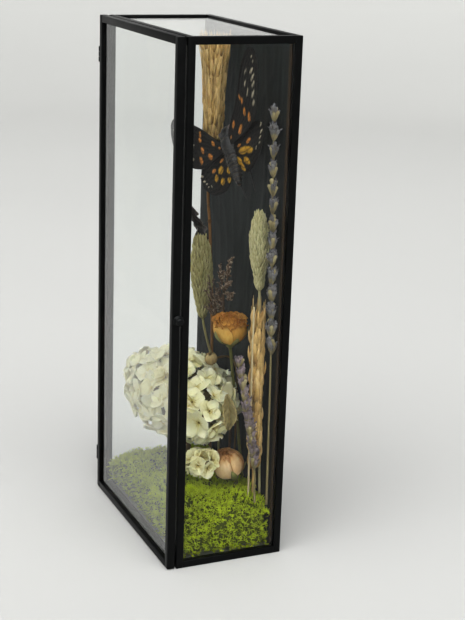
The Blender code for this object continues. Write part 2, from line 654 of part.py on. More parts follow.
def build_cicada():
    """The spread cicada: body, head with eyes, legs and four wings, grown as one piece, and its pin."""
    dorsal = CICADA_ACROSS.cross(CICADA_AHEAD).normalized()
    across = CICADA_AHEAD.cross(dorsal)
    place = Matrix((across, CICADA_AHEAD, dorsal)).transposed().to_4x4()
    place.translation = CICADA_CENTRE
    body_rings = (
        (0.0140, 0.0012, 0.0012), (0.0132, 0.0036, 0.0026), (0.0115, 0.0050, 0.0034),
        (0.0098, 0.0052, 0.0038), (0.0085, 0.0046, 0.0040), (0.0050, 0.0051, 0.0046),
        (0.0000, 0.0050, 0.0048), (-0.0040, 0.0046, 0.0045), (-0.0070, 0.0043, 0.0041),
        (-0.0110, 0.0041, 0.0038), (-0.0150, 0.0035, 0.0033), (-0.0190, 0.0027, 0.0026),
        (-0.0220, 0.0017, 0.0018), (-0.0240, 0.0006, 0.0007))
    spine = [Vector((0, reach, 0)) for reach, _, _ in body_rings]

    def section(k, angle):
        return body_rings[k][1] * math.cos(angle), body_rings[k][2] * math.sin(angle)

    body = loft_body(spine, section, 12)
    pieces = []
    fore_front = [(2, 6.5), (6, 8.5), (12, 14.5), (20, 23.5), (29, 32.5), (36, 38.5), (41, 40)]
    fore_rear = [(45, 36), (46.3, 30), (44.5, 22), (41.5, 15), (37, 7.5), (31, 2.5), (20, -1), (2, 0)]
    hind_front = [(2, 2), (20, 3.5), (30, 2), (34, -2)]
    hind_rear = [(33.3, -8), (30, -13), (25, -16.5), (14, -20), (6, -19), (2.5, -12), (1.5, -3)]
    wings = ((fore_front, fore_rear, 0.0018, 0.05), (hind_front, hind_rear, 0.0004, 0.02))
    for side in (1, -1):
        for front, rear, lift, dihedral in wings:
            wing = plate_mesh("wing", wing_outline(front, rear), WING_THICK)
            for vert in wing.vertices:
                vert.co.z += lift + dihedral * vert.co.x
                vert.co.x *= side
            if side < 0:
                wing.flip_normals()
            pieces.append(wing)
        pieces.append(ball_mesh("eye", (side * 0.0052, 0.0112, 0.0006), (0.0015, 0.0014, 0.0015), 8, 6))
        for reach, out, back in ((0.006, 0.0085, 0.004), (0.001, 0.0095, -0.006), (-0.003, 0.0060, -0.026)):
            hip = Vector((side * 0.003, reach, -0.0030))
            knee = Vector((side * out, reach + back * 0.4, -0.0045))
            toe = Vector((side * out * 0.85, reach + back, -0.0062))
            pieces.append(loft_body([hip, knee, toe], round_section([0.0006, 0.00055, 0.0003]), 5))
    mesh = fuse(body, pieces)
    add_object("cicada", mesh, (0.016, 0.015, 0.014, 1), 0.5, place=place)
    pin_top = CICADA_CENTRE - dorsal * 0.0050 - CICADA_AHEAD * 0.001
    pin_foot = Vector((pin_top.x, BOARD_FRONT - TOUCH_GAP, pin_top.z))
    pin = loft_body([pin_foot, pin_foot.lerp(pin_top, 0.5), pin_top], round_section([0.0004] * 3), 8)
    add_object("cicada_pin", pin, BLACK, 0.3, 0.8)


def loft_body(spine, section, sides):
    """A lofted skin whose run may lie along Y."""
    swap = Matrix.Rotation(math.pi / 2, 4, "X")
    turned = [swap @ p for p in spine]
    mesh = loft_mesh("skin", turned, section, sides)
    mesh.transform(swap.inverted())
    return mesh


build_case()
build_door()
for place, middle in (("bottom", HINGE_FROM_END), ("top", BOX_HEIGHT - HINGE_FROM_END)):
    build_hinge(place, middle)
build_moss()
build_back_wheat()
build_grass_head("phalaris_side", (0.0448, 0.0222, 0.2020), (0.0448, 0.0242, 0.1555), (0.0468, 0.0286),
                 0.0062, (0.62, 0.60, 0.36, 1), 0.07, tip=0.98)
build_grass_head("phalaris_far", (-0.0215, 0.0150, 0.1740), (-0.0125, 0.0140, 0.1235), (-0.0115, 0.0270),
                 0.0074, (0.42, 0.38, 0.18, 1), 0.07, bow=0.0075, tip=0.99)
build_lavender("lavender_tall", (0.0566, 0.0225, 0.2625), (0.0568, 0.0272, 0.1200), (0.0570, 0.0290), 13,
               0.0029, (0.20, 0.18, 0.22, 1))
build_lavender("lavender_short", (0.0560, 0.0060, 0.1215), (0.0562, 0.0200, 0.0515), (0.0562, 0.0215), 9,
               0.0026, (0.16, 0.11, 0.16, 1))
build_side_wheat()
build_hydrangea()
build_rose("upper", (0.0285, 0.0140, 0.1300), 0.0100, (0.0300, 0.0262), (0.66, 0.32, 0.10, 1),
           (0.16, -0.12, 0.95))
build_rose("lower", (0.0400, 0.0105, 0.0505), 0.0096, (0.0400, 0.0120), (0.72, 0.42, 0.22, 1),
           (0.05, -0.42, 0.85))
build_rosebud()
build_statice()
build_dried_leaves()
build_cicada()
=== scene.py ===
"""Looks of the cicada display box: finishes, petals, husks, moss, wings and the studio round it."""
import math
import random
import bpy
import numpy as np
from mathutils import Matrix, Vector, noise


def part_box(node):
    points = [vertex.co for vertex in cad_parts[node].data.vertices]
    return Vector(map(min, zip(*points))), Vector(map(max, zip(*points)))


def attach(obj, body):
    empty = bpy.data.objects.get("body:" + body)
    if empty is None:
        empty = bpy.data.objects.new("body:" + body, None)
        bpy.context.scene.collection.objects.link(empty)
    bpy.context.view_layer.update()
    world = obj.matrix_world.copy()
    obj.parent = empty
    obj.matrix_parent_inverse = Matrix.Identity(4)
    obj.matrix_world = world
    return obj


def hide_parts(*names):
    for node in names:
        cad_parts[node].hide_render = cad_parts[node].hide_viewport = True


bl_info = {
    "name": "Cicada display box",
    "version": (1, 0, 0),
    "blender": (4, 5, 0),
    "location": "3D View > Sidebar > Display box",
    "description": "Dresses a glazed specimen box: a spread cicada over dried flowers, wheat and moss",
    "category": "Object",
}

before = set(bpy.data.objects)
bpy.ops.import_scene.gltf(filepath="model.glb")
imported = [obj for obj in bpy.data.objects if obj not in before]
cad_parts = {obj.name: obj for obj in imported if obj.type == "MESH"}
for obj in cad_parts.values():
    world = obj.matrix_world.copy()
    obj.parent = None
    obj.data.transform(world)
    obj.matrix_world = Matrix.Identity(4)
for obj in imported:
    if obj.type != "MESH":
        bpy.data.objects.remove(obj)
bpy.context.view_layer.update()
CASE = "case"
DOOR = "door"
MM = 0.001

# Random turns are drawn from this range
ANY_ANGLE = (0, 6.28)

# Loose tips are held between the side panes, and between the door's glass and the board
ACROSS_CASE = (-0.0604, 0.0604)
DOOR_TO_BOARD = (-0.0320, 0.0303)

# Moss strands are held behind the door's glass, before the board and above the bottom pane
MOSS_DEPTH = (-0.0321, 0.0303)
MOSS_HEIGHT = (0.0029, 0.2)

# Indices of refraction: the door's plain plate, and the other panes, which hardly mirror the room
PLATE_BENDING = 1.5
LOW_GLARE_BENDING = 1.27

# The studio's round sheet is flat out to the first radius and sweeps up to the second, in metres
FLAT_RADIUS = 1.6
FLOOR_RADIUS = 3.2
BACKDROP_HEIGHT = 1.4

# The camera stands where the photograph was taken, worked out from the case's corners
CAMERA_PLACE = (0.73457, -0.30038, 0.37072)
CAMERA_AZIMUTH = 65.909
CAMERA_ELEVATION = 16.574
CAMERA_ROLL = 1.9435
CAMERA_LENS = 81.23
SENSOR = 36.0

# The cicada's own axes: its middle, the way its near wing points and the way its head points
CICADA_CENTRE = Vector((0.0195, 0.0149, 0.2329))
CICADA_ACROSS = Vector((0.772, 0.211, 0.599)).normalized()
CICADA_AHEAD = Vector((-0.615, 0.008, 0.789)).normalized()


# Mesh making

class Soup:
    """Loose pieces of one mesh, each with a tone, a reach and a hue value on its points."""

    def __init__(self):
        self.points = []
        self.faces = []
        self.values = {"tone": [], "reach": [], "hue": []}
        self.count = 0

    def add(self, points, faces, tone=0.5, reach=0.5, hue=0.5):
        """Add one patch; tone, reach and hue are one number or one for each point."""
        points = np.asarray(points, float)
        self.points.append(points)
        self.faces.extend([tuple(n + self.count for n in face) for face in faces])
        for key, value in (("tone", tone), ("reach", reach), ("hue", hue)):
            self.values[key].append(np.broadcast_to(np.asarray(value, float), (len(points),)))
        self.count += len(points)

    def add_moved(self, matrix, points, faces, tone=0.5, reach=0.5, hue=0.5):
        """Add one patch carried by a 4 by 4 matrix."""
        self.add(moved(points, matrix), faces, np.clip(tone, 0, 1), reach, hue)

    def add_copy(self, patch, matrix, shade, hue=0.5):
        """Add a moved copy of a patch (points, faces, tone, reach), a shade lighter or darker."""
        points, faces, tone, reach = patch
        self.add_moved(matrix, points, faces, tone + shade, reach, hue)

    def add_rod(self, spine, radii, sides, tone=0.5, reach=0.5, hue=0.5, flat=1.0):
        """Add a tube along a spine."""
        self.add(*rod(spine, radii, sides, flat), tone, reach, hue)

    def hold(self, axis, low, high):
        """Press stray points back between two limits along one axis."""
        for chunk in self.points:
            np.clip(chunk[:, axis], low, high, out=chunk[:, axis])

    def patch(self):
        """Everything added so far as one patch (points, faces, tone, reach)."""
        return (np.vstack(self.points), self.faces, np.concatenate(self.values["tone"]),
                np.concatenate(self.values["reach"]))

    def to_object(self, name, finish):
        """Make the piece and give it its finish."""
        mesh = bpy.data.meshes.new(name)
        mesh.from_pydata(np.vstack(self.points).tolist(), [], self.faces)
        for key, chunks in self.values.items():
            layer = mesh.attributes.new(key, "FLOAT", "POINT")
            layer.data.foreach_set("value", np.concatenate(chunks).astype(np.float32))
        mesh.materials.append(finish)
        mesh.update()
        mesh.shade_smooth()
        piece = bpy.data.objects.new(name, mesh)
        bpy.context.scene.collection.objects.link(piece)
        return piece


def strip_faces(rings, sides, closed=True):
    """Quads between neighbouring rings of points."""
    faces = []
    last = sides if closed else sides - 1
    for k in range(rings - 1):
        low = k * sides
        for n in range(last):
            m = (n + 1) % sides
            faces.append((low + n, low + m, low + sides + m, low + sides + n))
    return faces


def rod(spine, radii, sides, flat=1.0, hint=(0.0, 0.0, 1.0), capped=True):
    """A tube along a spine; flat under 1 makes its section an oval, thin across the hint's way."""
    spine = np.asarray(spine, float)
    radii = np.broadcast_to(np.asarray(radii, float), (len(spine),))
    ahead = np.gradient(spine, axis=0)
    ahead /= np.linalg.norm(ahead, axis=1)[:, None] + 1e-12
    hint = np.asarray(hint, float)
    side = np.cross(ahead, hint)
    weak = np.linalg.norm(side, axis=1) < 0.1
    side[weak] = np.cross(ahead[weak], (0.93, 0.37, 0.0))
    side /= np.linalg.norm(side, axis=1)[:, None]
    front = np.cross(side, ahead)
    angles = np.arange(sides) * math.tau / sides
    across, deep = np.cos(angles)[None, :, None], (flat * np.sin(angles))[None, :, None]
    ring = side[:, None, :] * across + front[:, None, :] * deep
    points = spine[:, None, :] + ring * radii[:, None, None]
    points = points.reshape(-1, 3)
    faces = strip_faces(len(spine), sides)
    if capped:
        faces.append(tuple(range(sides - 1, -1, -1)))
        faces.append(tuple(range((len(spine) - 1) * sides, len(spine) * sides)))
    return points, faces


def grid_patch(columns, rows, place):
    """A sheet of quads whose points come from place(s, t), both from 0 to 1."""
    s, t = np.meshgrid(np.linspace(0, 1, columns), np.linspace(0, 1, rows))
    points = place(s, t).reshape(-1, 3)
    return points, strip_faces(rows, columns, closed=False), s.ravel(), t.ravel()


def double_sheet(columns, rows, place, thick):
    """A thin closed leaf: the sheet from place(s, t), a second one a thickness behind it, and their rim."""
    points, faces, s, t = grid_patch(columns, rows, place)
    shape = points.reshape(rows, columns, 3)
    along = np.gradient(shape, axis=1)
    up = np.gradient(shape, axis=0)
    normal = np.cross(along, up)
    normal /= np.linalg.norm(normal, axis=2)[:, :, None] + 1e-12
    behind = (shape - normal * thick).reshape(-1, 3)
    total = len(points)
    faces = faces + [tuple(n + total for n in reversed(face)) for face in faces]
    rim = list(range(columns)) + [r * columns + columns - 1 for r in range(1, rows)]
    rim += [(rows - 1) * columns + n for n in range(columns - 2, -1, -1)]
    rim += [r * columns for r in range(rows - 2, 0, -1)]
    for a, b in zip(rim, rim[1:] + rim[:1]):
        faces.append((a, a + total, b + total, b))
    return np.vstack((points, behind)), faces, np.tile(s, 2), np.tile(t, 2)


def turn_to(direction, spin=0.0):
    """A matrix whose Z axis points along direction, spun about it."""
    return Vector(direction).to_track_quat("Z", "Y").to_matrix().to_4x4() @ Matrix.Rotation(spin, 4, "Z")


def placed(point, direction, spin=0.0, scale=1.0):
    """A patch's matrix: its origin at a point and its Z axis along a direction."""
    return Matrix.Translation(Vector(point)) @ turn_to(direction, spin) @ Matrix.Scale(scale, 4)


def moved(points, matrix):
    """Points carried by a 4 by 4 matrix."""
    return (np.hstack((points, np.ones((len(points), 1)))) @ np.array(matrix).T)[:, :3]


def jitter(rng, reach, scale=1.0):
    """A random vector with each part from -reach to reach, times a scale."""
    return Vector([rng.uniform(-reach, reach) * scale for _ in range(3)])


def level_way(angle):
    """The level direction at an angle from X."""
    return Vector((math.cos(angle), math.sin(angle), 0))


def egg_patch(centre, radii):
    """A ball of quads with its own radius along each axis."""
    return grid_patch(20, 12, lambda s, t: np.stack((
        centre.x + radii[0] * np.sin(t * math.pi) * np.cos(s * math.tau),
        centre.y + radii[1] * np.sin(t * math.pi) * np.sin(s * math.tau),
        centre.z + radii[2] * np.cos(t * math.pi)), axis=2))[:2]


def curve_between(points, count):
    """Points evenly set along a smooth curve through a few guiding points."""
    points = [Vector(p) for p in points]
    guide = [points[0] * 2 - points[1]] + points + [points[-1] * 2 - points[-2]]
    spots = []
    for k in range(count):
        place = k / (count - 1) * (len(points) - 1)
        n = min(int(place), len(points) - 2)
        t = place - n
        a, b, c, d = guide[n:n + 4]
        spots.append(0.5 * (2 * b + (c - a) * t + (2 * a - 5 * b + 4 * c - d) * t * t
                            + (3 * b - 3 * c + d - a) * t * t * t))
    return np.array([tuple(p) for p in spots])


def fit(piece, body, slot, *nodes):
    """Fix a piece to its body and hide the solids that it stands for; its material slot is not used."""
    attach(piece, body)
    if nodes:
        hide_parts(*nodes)


def repaint(node, finish):
    """Give a solid that stays in sight its finish."""
    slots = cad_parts[node].data.materials
    slots.clear()
    slots.append(finish)


# Finishes

def set_inputs(node, values):
    """Set some of a node's inputs by name."""
    for key, value in values.items():
        node.inputs[key].default_value = value


def new_finish(name, roughness=0.5, gloss=0.5):
    """A fresh material with its node tree and its shader."""
    mat = bpy.data.materials.new(name)
    mat.use_nodes = True
    shader = mat.node_tree.nodes["Principled BSDF"]
    set_inputs(shader, {"Roughness": roughness, "Specular IOR Level": gloss})
    return mat, mat.node_tree, shader


def value_of(tree, key, output="Fac"):
    """One of the values that a mesh keeps on its points."""
    node = tree.nodes.new("ShaderNodeAttribute")
    node.attribute_name = key
    return node.outputs[output]


def ramp_of(tree, source, stops):
    """A colour ramp over a socket or a named value; stops are (place, (r, g, b))."""
    if isinstance(source, str):
        source = value_of(tree, source)
    ramp = tree.nodes.new("ShaderNodeValToRGB")
    bar = ramp.color_ramp
    while len(bar.elements) < len(stops):
        bar.elements.new(0.5)
    for element, (place, colour) in zip(bar.elements, stops):
        element.position = place
        element.color = (*colour, 1)
    tree.links.new(source, ramp.inputs["Fac"])
    return ramp.outputs["Color"]


def noise_of(tree, scale, detail=4.0, roughness=0.6, stretch=(1, 1, 1), distortion=0.0):
    """Noise in the piece's own coordinates, in features a metre."""
    where = tree.nodes.new("ShaderNodeTexCoord")
    mapping = tree.nodes.new("ShaderNodeMapping")
    mapping.inputs["Scale"].default_value = stretch
    grain = tree.nodes.new("ShaderNodeTexNoise")
    set_inputs(grain, {"Scale": scale, "Detail": detail, "Roughness": roughness, "Distortion": distortion})
    tree.links.new(where.outputs["Object"], mapping.inputs["Vector"])
    tree.links.new(mapping.outputs["Vector"], grain.inputs["Vector"])
    return grain.outputs["Fac"]


def mix_of(tree, kind, amount, first, second):
    """Mix two colours; each of the three may be a value or a socket."""
    mix = tree.nodes.new("ShaderNodeMix")
    mix.data_type = "RGBA"
    mix.blend_type = kind
    for socket, value in ((mix.inputs[0], amount), (mix.inputs[6], first), (mix.inputs[7], second)):
        if hasattr(value, "is_output"):
            tree.links.new(value, socket)
        else:
            socket.default_value = value
    return mix.outputs[2]


def range_of(tree, source, low, high):
    """A node that carries a value from 0 to 1 over to low to high."""
    node = tree.nodes.new("ShaderNodeMapRange")
    set_inputs(node, {"To Min": low, "To Max": high})
    tree.links.new(source, node.inputs["Value"])
    return node


def bump_of(tree, shader, height, strength, distance):
    """Send a height to the shader's normal."""
    bump = tree.nodes.new("ShaderNodeBump")
    set_inputs(bump, {"Strength": strength, "Distance": distance})
    tree.links.new(height, bump.inputs["Height"])
    tree.links.new(bump.outputs["Normal"], shader.inputs["Normal"])


def plant_finish(name, tones, edge=None, roughness=0.75, grain=900, bump=0.35, soft=0.12, fibre=1.0):
    """Dried plant matter: ramps over tone and reach, fibrous grain, and soft light inside."""
    swing = 0.5
    mat, tree, shader = new_finish(name, roughness, 0.3)
    mottle = noise_of(tree, grain, 5.0, 0.65, (1, 1, fibre))
    tone = tree.nodes.new("ShaderNodeMath")
    tone.operation = "MULTIPLY_ADD"
    tree.links.new(mottle, tone.inputs[0])
    tone.inputs[1].default_value = swing
    tree.links.new(value_of(tree, "tone"), tone.inputs[2])
    shift = tree.nodes.new("ShaderNodeMath")
    shift.operation = "SUBTRACT"
    shift.use_clamp = True
    tree.links.new(tone.outputs[0], shift.inputs[0])
    shift.inputs[1].default_value = swing / 2
    colour = ramp_of(tree, shift.outputs[0], tones)
    if edge:
        colour = mix_of(tree, "MULTIPLY", 1.0, colour, ramp_of(tree, "reach", edge))
    tree.links.new(colour, shader.inputs["Base Color"])
    set_inputs(shader, {"Subsurface Weight": soft, "Subsurface Scale": 1.0,
                        "Subsurface Radius": (0.0012, 0.0008, 0.0004)})
    bump_of(tree, shader, mottle, bump, 0.0003)
    return mat


def black_paint(name, roughness, grey=0.0022):
    """Satin black paint over metal strip, slightly uneven, with greyer rubbed patches."""
    mat, tree, shader = new_finish(name, roughness, 0.14)
    patches = noise_of(tree, 120, 6.0, 0.7)
    even = (grey, grey * 1.1, grey * 1.1)
    rubbed = (grey * 2.2, grey * 2.4, grey * 2.4)
    tree.links.new(ramp_of(tree, patches, [(0.35, even), (0.75, rubbed)]), shader.inputs["Base Color"])
    rough = range_of(tree, patches, roughness - 0.08, roughness + 0.14)
    tree.links.new(rough.outputs["Result"], shader.inputs["Roughness"])
    bump_of(tree, shader, noise_of(tree, 900, 3.0, 0.5), 0.12, 0.0002)
    return mat


def clear_glass(name, bending):
    """Polished clear glass with the faintest green cast and waviness."""
    mat, tree, shader = new_finish(name, 0.0)
    set_inputs(shader, {"Base Color": (0.985, 0.997, 0.99, 1), "IOR": bending, "Transmission Weight": 1.0})
    bump_of(tree, shader, noise_of(tree, 14, 1.0, 0.3), 0.02, 0.0004)
    return mat


# Case

def strip_bar(name, low, high, finish, bevel):
    """One metal strip: a block with softened edges between two corners."""
    size = high - low
    bpy.ops.mesh.primitive_cube_add(size=1, location=(low + high) / 2)
    bar = bpy.context.object
    bar.name = name
    bar.data.name = name
    bar.scale = size
    bpy.ops.object.transform_apply(location=True, rotation=False, scale=True)
    soften = bar.modifiers.new("softened edges", "BEVEL")
    soften.width = bevel
    soften.segments = 3
    soften.limit_method = "ANGLE"
    bar.data.materials.append(finish)
    bar.data.shade_smooth()
    return bar


def stretched(low, high, axis, amount):
    """The same box, longer at both ends along one axis."""
    low = low.copy()
    high = high.copy()
    low[axis] -= amount
    high[axis] += amount
    return low, high


def hidden_box(node):
    """A solid's corners as fresh vectors."""
    low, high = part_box(node)
    return Vector(low), Vector(high)


class BoxSettings(bpy.types.PropertyGroup):
    """Sizes and colours of the case."""

    edge_softness: bpy.props.FloatProperty(
        name="Edge softness", description="Radius along the metal strips", default=0.00045, unit="LENGTH")
    strip_roughness: bpy.props.FloatProperty(
        name="Strip roughness", description="Roughness of the black paint", default=0.34, subtype="FACTOR")
    crease_depth: bpy.props.FloatProperty(
        name="Crease depth", description="How far the board's creases stand out", default=0.0011,
        unit="LENGTH")
    board_colour: bpy.props.FloatVectorProperty(
        name="Board colour", description="Colour of the black board", default=(0.0085, 0.0130, 0.0125),
        subtype="COLOR")


class FlowerSettings(bpy.types.PropertyGroup):
    """Sizes and amounts of the dried plants."""

    florets: bpy.props.IntProperty(
        name="Florets", description="Four-petalled flowers on the hydrangea head", default=92)
    sepal_length: bpy.props.FloatProperty(
        name="Sepal length", description="Length of one hydrangea sepal", default=0.0098, unit="LENGTH")
    rose_rings: bpy.props.IntProperty(
        name="Rose rings", description="Rings of petals in each dried rose", default=6)
    moss_sprigs: bpy.props.IntProperty(
        name="Moss sprigs", description="Branching sprigs on each third of the moss", default=1450)
    moss_sprig_length: bpy.props.FloatProperty(
        name="Moss sprig length", description="Height of one moss sprig", default=0.0052, unit="LENGTH")


class CicadaSettings(bpy.types.PropertyGroup):
    """Colours of the cicada."""

    orange: bpy.props.FloatVectorProperty(
        name="Orange marks", description="Marks on the inner half of the forewing",
        default=(0.72, 0.30, 0.055), subtype="COLOR")
    cream: bpy.props.FloatVectorProperty(
        name="Cream marks", description="Marks on the outer half of the forewing", default=(0.62, 0.55, 0.40),
        subtype="COLOR")
    yellow: bpy.props.FloatVectorProperty(
        name="Yellow marks", description="Patches at the base of the hindwing", default=(0.66, 0.38, 0.035),
        subtype="COLOR")


class StageSettings(bpy.types.PropertyGroup):
    """Floor and light."""

    floor_colour: bpy.props.FloatVectorProperty(
        name="Floor colour", description="Colour of the floor and backdrop", default=(0.468, 0.465, 0.450),
        subtype="COLOR")
    key_power: bpy.props.FloatProperty(
        name="Key light", description="Power of the large overhead light", default=2.5, unit="POWER")
    room_strength: bpy.props.FloatProperty(
        name="Room light", description="Strength of the even light from all round", default=0.58)
    window_strength: bpy.props.FloatProperty(
        name="Window light", description="Strength of the broad soft light on the camera's side", default=3.7)


class BOX_OT_case(bpy.types.Operator):
    """Make the twelve metal strips of the case"""

    bl_idname = "display_box.case"
    bl_label = "Case strips"

    def execute(self, context):
        settings = context.scene.box_settings
        paint = black_paint("satin black paint", settings.strip_roughness)
        for node in sorted(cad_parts):
            if not node.startswith(("post_", "rail_")):
                continue
            low, high = hidden_box(node)
            if node.startswith("rail_"):
                axis = 0 if node.endswith(("front", "back")) else 1
                low, high = stretched(low, high, axis, 0.0004)
            bar = strip_bar("strip_" + node, low, high, paint, settings.edge_softness)
            fit(bar, CASE, "frame_black", node)
        return {"FINISHED"}


class BOX_OT_glass(bpy.types.Operator):
    """Finish the glass panes"""

    bl_idname = "display_box.glass"
    bl_label = "Glass panes"

    def execute(self, context):
        plate = clear_glass("door plate glass", PLATE_BENDING)
        thin = clear_glass("thin low-glare glass", LOW_GLARE_BENDING)
        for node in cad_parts:
            if "glass" in node:
                repaint(node, plate if node == "door_glass" else thin)
        return {"FINISHED"}


def board_relief(x, z):
    """Height of the creased board at a place, in units of its crease depth."""
    bend = noise.noise(Vector((x * 18, 3.1, z * 9))) * 0.9
    upright = 1 - abs(noise.noise(Vector((x * 110 + bend * 2.6, 0.7, z * 11))))
    slanting = 1 - abs(noise.noise(Vector((x * 72 - z * 30 + bend, 5.2, z * 20 + x * 20))))
    puckers = noise.noise(Vector((x * 210, 8.4, z * 60)))
    return 0.75 * upright ** 6 + 0.6 * slanting ** 8 + 0.14 * puckers


class BOX_OT_board(bpy.types.Operator):
    """Make the creased black board behind the specimens"""

    bl_idname = "display_box.board"
    bl_label = "Backing board"

    def execute(self, context):
        settings = context.scene.box_settings
        low, high = hidden_box("backing_board")
        columns, rows = 86, 172

        def place(s, t):
            x = low.x + (high.x - low.x) * s
            z = low.z + (high.z - low.z) * t
            edge = np.minimum(np.minimum(s, 1 - s) * 16, np.minimum(t, 1 - t) * 36).clip(0, 1)
            lift = np.array([board_relief(a, b) for a, b in zip(x.ravel(), z.ravel())]).reshape(x.shape)
            y = low.y + settings.crease_depth * 0.15 - settings.crease_depth * lift * edge * 0.5
            return np.stack((x, y, z), axis=2)

        soup = Soup()
        points, faces, s, t = double_sheet(columns, rows, place, 0.0012)
        soup.add(points, faces, s, t)
        fit(soup.to_object("creased_board", self.crinkled_black(settings.board_colour)), CASE, "board_black",
            "backing_board")
        return {"FINISHED"}

    def crinkled_black(self, colour):
        """Blue-black crinkled paper, a little shiny on its creases, on a board with brown cut edges."""
        mat, tree, shader = new_finish("crinkled black paper", 0.6, 0.3)
        fibres = noise_of(tree, 150, 7.0, 0.7, (1, 1, 0.22))
        dull, bright = tuple(c * 0.6 for c in colour), tuple(c * 1.7 for c in colour)
        base = ramp_of(tree, fibres, [(0.3, dull), (0.75, bright)])
        side = ramp_of(tree, "tone", [(0.0, (0, 0, 0)), (0.978, (0, 0, 0)), (0.986, (1, 1, 1))])
        worn = mix_of(tree, "MIX", side, base, (0.055, 0.033, 0.015, 1))
        tree.links.new(worn, shader.inputs["Base Color"])
        bump_of(tree, shader, noise_of(tree, 90, 2.0, 0.5, (1, 1, 0.10), 0.15), 0.35, 0.0009)
        return mat


class BOX_OT_door(bpy.types.Operator):
    """Make the door's strips, knob and hinges"""

    bl_idname = "display_box.door"
    bl_label = "Door"

    def execute(self, context):
        settings = context.scene.box_settings
        paint = black_paint("door black paint", settings.strip_roughness)
        for node in ("door_stile_left", "door_stile_right", "door_rail_top", "door_rail_bottom"):
            low, high = hidden_box(node)
            if node.startswith("door_rail"):
                low, high = stretched(low, high, 0, 0.0004)
            bar = strip_bar("strip_" + node, low, high, paint, settings.edge_softness)
            fit(bar, DOOR, "frame_black", node)
        metal = black_paint("hinge black", 0.3, 0.008)
        for node in ("hinge_bottom_case", "hinge_top_case", "hinge_bottom_door", "hinge_top_door"):
            repaint(node, metal)
        self.knob()
        return {"FINISHED"}

    def knob(self):
        """The turned knob: flange, waist and glossy dome."""
        low, high = hidden_box("door_knob")
        middle = (low + high) / 2
        radius = (high.z - low.z) / 2
        reach = high.x - low.x
        profile = [(1.0, 0.0), (1.0, 0.13), (0.93, 0.20), (0.80, 0.25), (0.62, 0.32), (0.56, 0.40),
                   (0.62, 0.48), (0.72, 0.58), (0.745, 0.68), (0.70, 0.80), (0.56, 0.91), (0.34, 0.98)]
        sides = 40
        angles = np.arange(sides) * math.tau / sides
        rings = [np.stack((np.full(sides, low.x + reach * out), middle.y + radius * r * np.cos(angles),
                           middle.z + radius * r * np.sin(angles)), axis=1) for r, out in profile]
        points = np.vstack(rings + [[(low.x, middle.y, middle.z)], [(high.x, middle.y, middle.z)]])
        faces = strip_faces(len(rings), sides)
        base, crown = len(points) - 2, len(points) - 1
        top = (len(rings) - 1) * sides
        for n in range(sides):
            m = (n + 1) % sides
            faces.append((m, n, base))
            faces.append((top + n, top + m, crown))
        soup = Soup()
        soup.add(points, faces)
        fit(soup.to_object("knob", black_paint("knob enamel", 0.14, 0.005)), DOOR, "knob_black", "door_knob")


# Moss

def moss_sprig(rng, length):
    """One branching moss sprig of fine curved strands, rooted at the origin and growing up Z."""
    soup = Soup()

    def grow(start, heading, size, depth):
        end = start + heading * size
        bend = (start + end) / 2 + jitter(rng, 0.2, size)
        thick = length * (0.036 + 0.012 * depth)
        spine = [start, bend, end] if depth else [start, end]
        points, faces = rod(spine, np.linspace(thick, thick * 0.7, len(spine)), 3, capped=False)
        height = np.clip(points[:, 2] / (length * 1.15), 0, 1)
        soup.add(points, faces, 0.22 + 0.78 * height, height)
        if depth:
            for _ in range(3 if depth == 2 else 2):
                lean = jitter(rng, 1)
                grow(end, (heading + lean * 1.05).normalized(), size * rng.uniform(0.6, 0.9), depth - 1)

    grow(Vector((0, 0, 0)), Vector((0, 0, 1)), length * 0.42, 2)
    return soup.patch()


def surface_samples(node, count, rng, keep):
    """Points and normals spread evenly over a solid's faces that keep(centre, normal) accepts."""
    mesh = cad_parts[node].data
    corners, normals, areas = [], [], []
    for face in mesh.polygons:
        if not keep(face.center, face.normal):
            continue
        ring = [mesh.vertices[v].co for v in face.vertices]
        for k in range(1, len(ring) - 1):
            corners.append((ring[0], ring[k], ring[k + 1]))
            normals.append(face.normal.copy())
            areas.append((ring[k] - ring[0]).cross(ring[k + 1] - ring[0]).length)
    spots = []
    for n in rng.choices(range(len(areas)), weights=areas, k=count):
        a, b = rng.random(), rng.random()
        if a + b > 1:
            a, b = 1 - a, 1 - b
        p, q, r = corners[n]
        spots.append((p + (q - p) * a + (r - p) * b, normals[n]))
    return spots


